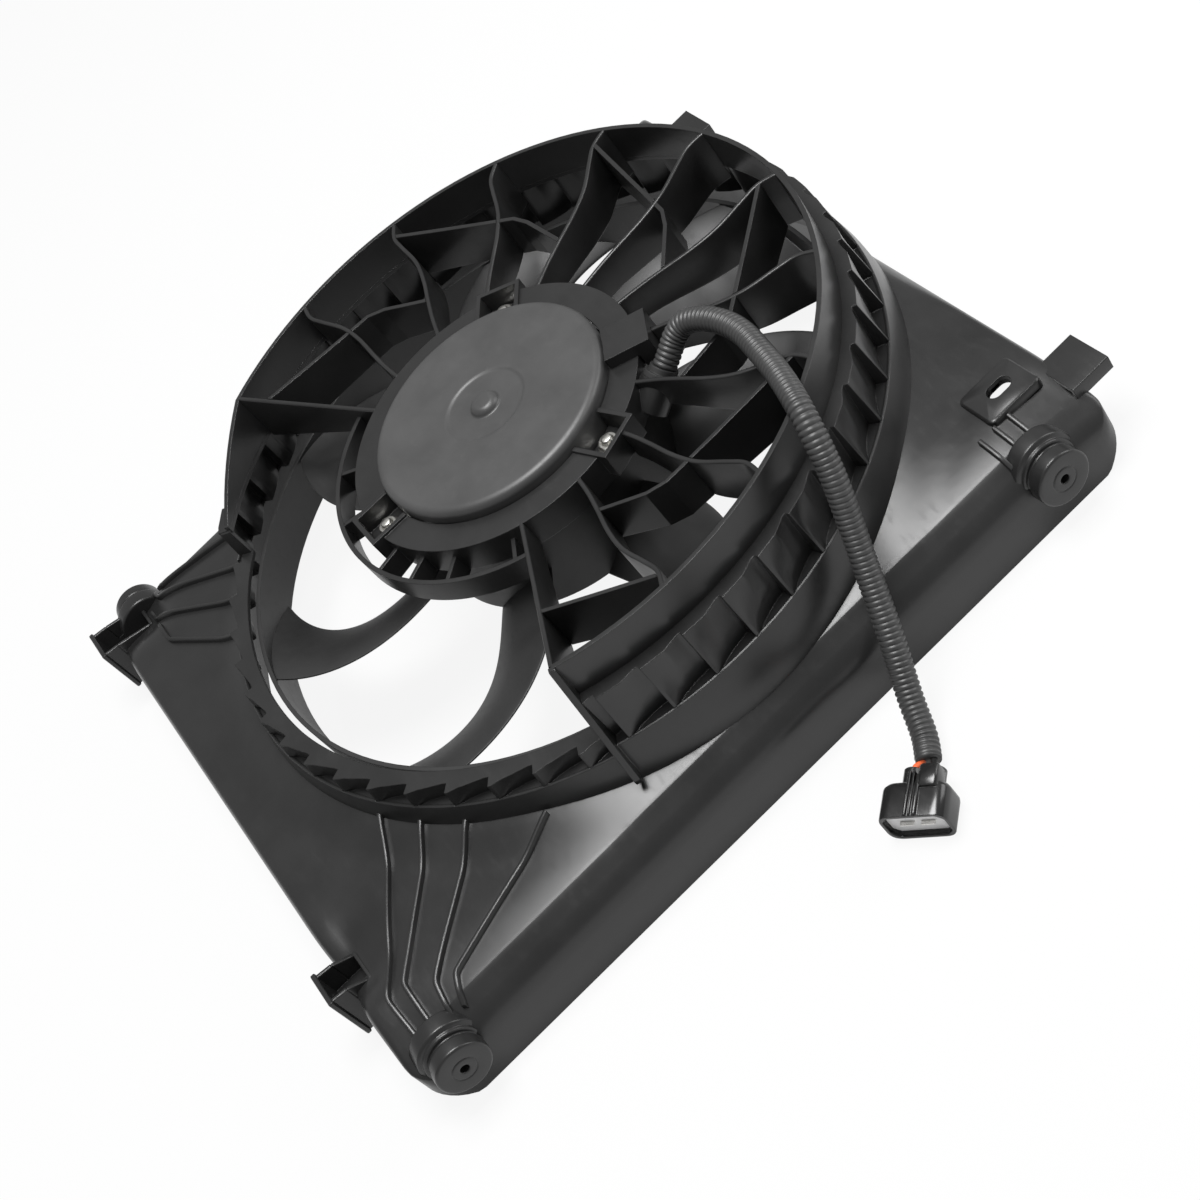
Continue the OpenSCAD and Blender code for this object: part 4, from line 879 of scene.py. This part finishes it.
# each step is [radius, distance out of the wall], turned about the pin's level axis
def makePins(spec):
    outline = softOutline(spec["steps"], 0.5, 3, closed=False)
    turn = fullTurn(spec["sides"])[None, :]
    r, out = outline[:, :1], outline[:, 1:]
    grids = []
    for x, side in spec["spots"]:
        away = side * (spec["wall"] + out + 0 * turn)
        grids.append(np.stack([x + r * np.cos(turn), away, spec["height"] + r * np.sin(turn)], axis=-1) * mm)
    piece = joinGrids("steppedPins", grids, "shroud_plastic", degrees=35)
    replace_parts(piece, "locating_pins")


makePins(pins)


# clips: open channels on the left end, and flat boxes on the right end
clips = {
    # inner end, middle, half width inside, half width of the plate at the tip
    "channels": [(-197.0, 192.5, 9.5, 13.0), (-208.0, -136.8, 8.0, 11.5)],
    "wall": 2.2, "tip": -229.0, "end": -218.0, "tipThick": 2.6, "low": 14.0, "floor": 28.0,
    "tops": (39.5, 44.5, 46.0),     # at the inner end, at the pan's end and at the tip
    "boxes": [(-197.0, -170.5), (144.8, 171.0)], "boxLevels": (36.0, 44.0), "boxRoof": 2.5,
    "boxStart": 212.0, "boxTip": 234.4,
}


def makeClips(spec):
    wall, tip, end, low, floor = [spec[k] for k in ("wall", "tip", "end", "low", "floor")]
    inner, edge, outer = spec["tops"]
    grids = []
    for start, middle, half, wide in spec["channels"]:
        for side in (-1, 1):
            y0, y1 = sorted((middle + side * half, middle + side * (half + wall)))
            grids.append(beamGrid(start, end, y0, y1, (floor, inner), (floor, edge)))
            grids.append(beamGrid(end + 0.1, tip + 1, y0 + 0.02, y1 - 0.02, (low, edge), (low, outer)))
        # the inner end, the floor and the plate at the tip
        for x0, x1, reach, levels in ((start + wall, start, half + wall, (floor, inner)),
                                      (start, tip + 1, half + 0.3, (floor, floor + wall)),
                                      (tip + spec["tipThick"], tip, wide, (low, outer + 0.5))):
            grids.append(beamGrid(x0, x1, middle - reach, middle + reach, levels))
    z0, z1 = spec["boxLevels"]
    roof, boxTip = z1 - spec["boxRoof"], spec["boxTip"]
    for y0, y1 in spec["boxes"]:
        section = [(y0, z0), (y0, z1), (y1, z1), (y1, z0), (y1 - wall, z0), (y1 - wall, roof),
                   (y0 + wall, roof), (y0 + wall, z0)]
        ring = softOutline(section, 0.5, 3)
        rows = [np.column_stack([x + 0 * ring[:, 0], ring]) for x in (spec["boxStart"], boxTip)]
        grids.append(np.stack(rows) * mm)
        grids.append(beamGrid(boxTip - wall, boxTip - 0.3, y0 + 1, y1 - 1, (z0 + 0.2, z1 - 1), soft=0.4))
    piece = joinGrids("clipSet", grids, "shroud_plastic", degrees=35)
    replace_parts(piece, "radiator_clips")


makeClips(clips)
print("ribs, pins and clips made")


# stator vanes: curved boards from the motor plate out to the ring
vanes = {
    "angles": [119, 98.5, 77, 55.5, 33.5, 11.5, -9.5, -30.5, -51.5, -71.5, -92.5, -111.5],
    "bow": [(80, 5.3), (95, 3.6), (108, 2), (125, 0.2), (142, -0.3), (160, 0.8), (171, 1.2), (182, 0)],
    "straight": (0, 11),
    "start": 82.2, "startAtWell": {3: 87.0, 9: 87.0}, "end": 181.0, "stations": 48,
    "thickness": 2.4, "rounding": 0.9,
    # upper edge, then lower edge: radius and height at the plate and at the ring
    "high": [(82.6, 114.5), (180.5, 122.0)],
    "low": [(98.3, 96.5), (180.5, 89.0)],
}


# the section is a tall rounded board whose two ends are moved to the upper and the lower edge
def makeVanes(spec):
    bow = np.array(spec["bow"], float)
    bowLine = smoothLine(np.column_stack([bow, np.zeros(len(bow))]), 8)
    half, tall = spec["thickness"] / 2, 50
    unit = softOutline([(-half, -tall), (half, -tall), (half, tall), (-half, tall)], spec["rounding"], 3)
    across, up = unit[None, :, :1], unit[None, :, 1]
    grids = []
    for k, angle in enumerate(spec["angles"]):
        first = spec["startAtWell"].get(k, spec["start"])
        r = np.linspace(first, spec["end"], spec["stations"])
        swing = 0 * r if k in spec["straight"] else np.interp(r, bowLine[:, 0], bowLine[:, 1])
        turn = np.radians(angle + swing)
        line = np.column_stack([r * np.cos(turn), r * np.sin(turn)])
        plan = line[:, None, :] + sideways(line)[:, None, :] * across
        high, low = [np.interp(r, *np.array(spec[k]).T)[:, None] for k in ("high", "low")]
        lift = np.where(up > 0, high + up - tall, low + up + tall)
        grids.append((np.concatenate([plan, lift[:, :, None]], axis=-1) + np.array([*axis, 0])) * mm)
    piece = joinGrids("statorVaneBoards", grids, "shroud_plastic", degrees=50)
    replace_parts(piece, "stator_vanes")


makeVanes(vanes)
print("vanes made")


# fan blades: sickle blades between the hub and the band
blades = {
    "count": 7, "phase": 164, "hubRadius": 72.0, "bandRadius": 175.7, "outerRadius": 178.0, "droop": 0.02,
    "bandLow": 42.0, "bandWidth": 28.0, "margin": 2.0, "thickness": 2.8, "stations": 44, "chordSteps": 22,
    # edges: angle, its fall with the square of the distance from a radius, and that radius
    "lead": (0, 0.0045, 115), "trail": (27, 0.0018, 72),
}


# edge angle = angle - fall (r - radius)^2; s goes from the leading (0) to the trailing edge (1);
# height = low + margin + (width - 2 margin)(s + s(1 - s)/2), less towards the tip by the droop;
# half thickness = t/2 (0.3 + 1.4 sqrt(s(1 - s)))
def makeBlades(spec):
    r = np.linspace(spec["hubRadius"] - 1, spec["bandRadius"] + 0.8, spec["stations"])[:, None]
    half = 0.5 - 0.5 * np.cos(np.linspace(0, np.pi, spec["chordSteps"]))
    s = np.concatenate([half, half[::-1]])[None, :]
    face = np.concatenate([np.ones(spec["chordSteps"]), -np.ones(spec["chordSteps"])])[None, :]
    lead, trail = [angle - fall * (r - middle) ** 2 for angle, fall, middle in (spec["lead"], spec["trail"])]
    width = spec["bandWidth"] - 2 * spec["margin"]
    z = spec["bandLow"] + spec["margin"] + width * (s + 0.5 * s * (1 - s))
    z = z + (spec["outerRadius"] - r) * spec["droop"]
    z = z + face * spec["thickness"] / 2 * (0.3 + 1.4 * np.sqrt(np.clip(s * (1 - s), 0, 1)))
    grids = []
    for k in range(spec["count"]):
        turn = np.radians(spec["phase"] - k * 360 / spec["count"] + lead + (trail - lead) * s)
        grids.append(turned(r, turn, z) * mm)
    piece = joinGrids("fanBladeSet", grids, "fan_plastic", body="fan", degrees=60)
    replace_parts(piece, "fan_blades")


makeBlades(blades)
print("blades made")


# motor can: a drawn steel can with a shallow dish and a knob in the middle of its back
can = {
    "radius": 66.0, "steel": 2.2, "low": 62.0, "top": 122.0, "dish": 22.5, "dishDrop": 0.8,
    "knob": 7.5, "knobRise": 2.8, "bushRadius": 9.0, "bushHousing": 11.0, "bushLow": 110.0, "sides": 160,
}


def makeCan(spec):
    top, low, r, inner = spec["top"], spec["low"], spec["radius"], spec["radius"] - spec["steel"]
    dished = top - spec["dishDrop"]
    under = dished - spec["steel"]
    knob, rise, dish, bush = spec["knob"], spec["knobRise"], spec["dish"], spec["bushLow"]
    outline = [(0.01, top + rise + 0.2), (knob - 2, top + rise), (knob, top + 1.2), (knob + 0.9, dished),
               (dish - 1, dished), (dish + 0.6, top), (r - 3.4, top), (r - 1.1, top - 1.1), (r, top - 3.4),
               (r, low), (inner, low), (inner, under), (spec["bushHousing"], under), (spec["bushHousing"], bush),
               (spec["bushRadius"], bush), (spec["bushRadius"], under), (0.01, under)]
    soft = softOutline(outline, 1.2, 4, closed=False)
    grid = turned(soft[:, :1], fullTurn(spec["sides"])[None, :], soft[:, 1:]) * mm
    piece = joinGrids("motorCanShell", [grid], "motor_paint", degrees=40)
    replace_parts(piece, "motor_can")


makeCan(can)
print("can made")


# floor, light and backdrop
studio = {
    "floorHalf": 8.0,
    "keyPower": 35.0, "keySize": 0.75, "keyPlace": (0.15, -0.03, 1.6),
    "sidePower": 8.0, "sideSize": 0.8, "sidePlace": (1.3, -0.3, 0.7),
    "skyLevel": 0.35, "floorLevel": 0.6,
    # how much of the white floor's glow the camera sees, and the share of it in reflections
    "floorShow": 0.9, "floorGloss": 0.5,
}


def areaLight(name, place, aim, size, power):
    data = bpy.data.lights.new(name, "AREA")
    data.shape = "SQUARE"
    data.size = size
    data.energy = power
    lamp = bpy.data.objects.new(name, data)
    bpy.context.scene.collection.objects.link(lamp)
    lamp.location = place
    lamp.rotation_euler = (Vector(aim) - Vector(place)).to_track_quat("-Z", "Y").to_euler()


def makeStudio(spec):
    half = spec["floorHalf"]
    mesh = bpy.data.meshes.new("floorPlane")
    corners = [(-half, -half, 0), (half, -half, 0), (half, half, 0), (-half, half, 0)]
    mesh.from_pydata(corners, [], [(0, 1, 2, 3)])
    floor = bpy.data.objects.new("floorPlane", mesh)
    bpy.context.scene.collection.objects.link(floor)
    shade = Shade("floorWhite")
    rays = [shade.node("ShaderNodeLightPath", output=k) for k in (0, 3, 6)]
    seen = (rays[0] + rays[1] * spec["floorGloss"] + rays[2]).clamp()
    plain = shade.node("ShaderNodeBsdfDiffuse", {}, {"Color": grey(spec["floorLevel"])})
    lit = shade.node("ShaderNodeEmission", {}, {"Color": grey(1.0), "Strength": 1.0})
    mixed = shade.node("ShaderNodeMixShader", {}, {0: seen * spec["floorShow"], 1: plain, 2: lit})
    shade.tree.links.new(mixed.socket, shade.final.inputs[0])
    mesh.materials.append(shade.material)
    areaLight("keyLight", spec["keyPlace"], (0, 0, 0), spec["keySize"], spec["keyPower"])
    areaLight("sideLight", spec["sidePlace"], (0, 0, 0.05), spec["sideSize"], spec["sidePower"])
    world = bpy.data.worlds.new("studioWorld")
    bpy.context.scene.world = world
    world.use_nodes = True
    nodes = world.node_tree.nodes
    links = world.node_tree.links
    nodes.clear()
    path = nodes.new("ShaderNodeLightPath")
    level = nodes.new("ShaderNodeMapRange")
    level.inputs[3].default_value = spec["skyLevel"]
    level.inputs[4].default_value = 1.0
    sky = nodes.new("ShaderNodeBackground")
    sky.inputs["Color"].default_value = grey(1.0)
    end = nodes.new("ShaderNodeOutputWorld")
    links.new(path.outputs["Is Camera Ray"], level.inputs[0])
    links.new(level.outputs[0], sky.inputs["Strength"])
    links.new(sky.outputs[0], end.inputs[0])


makeStudio(studio)
bpy.context.scene.view_settings.view_transform = "Standard"
print("studio made")
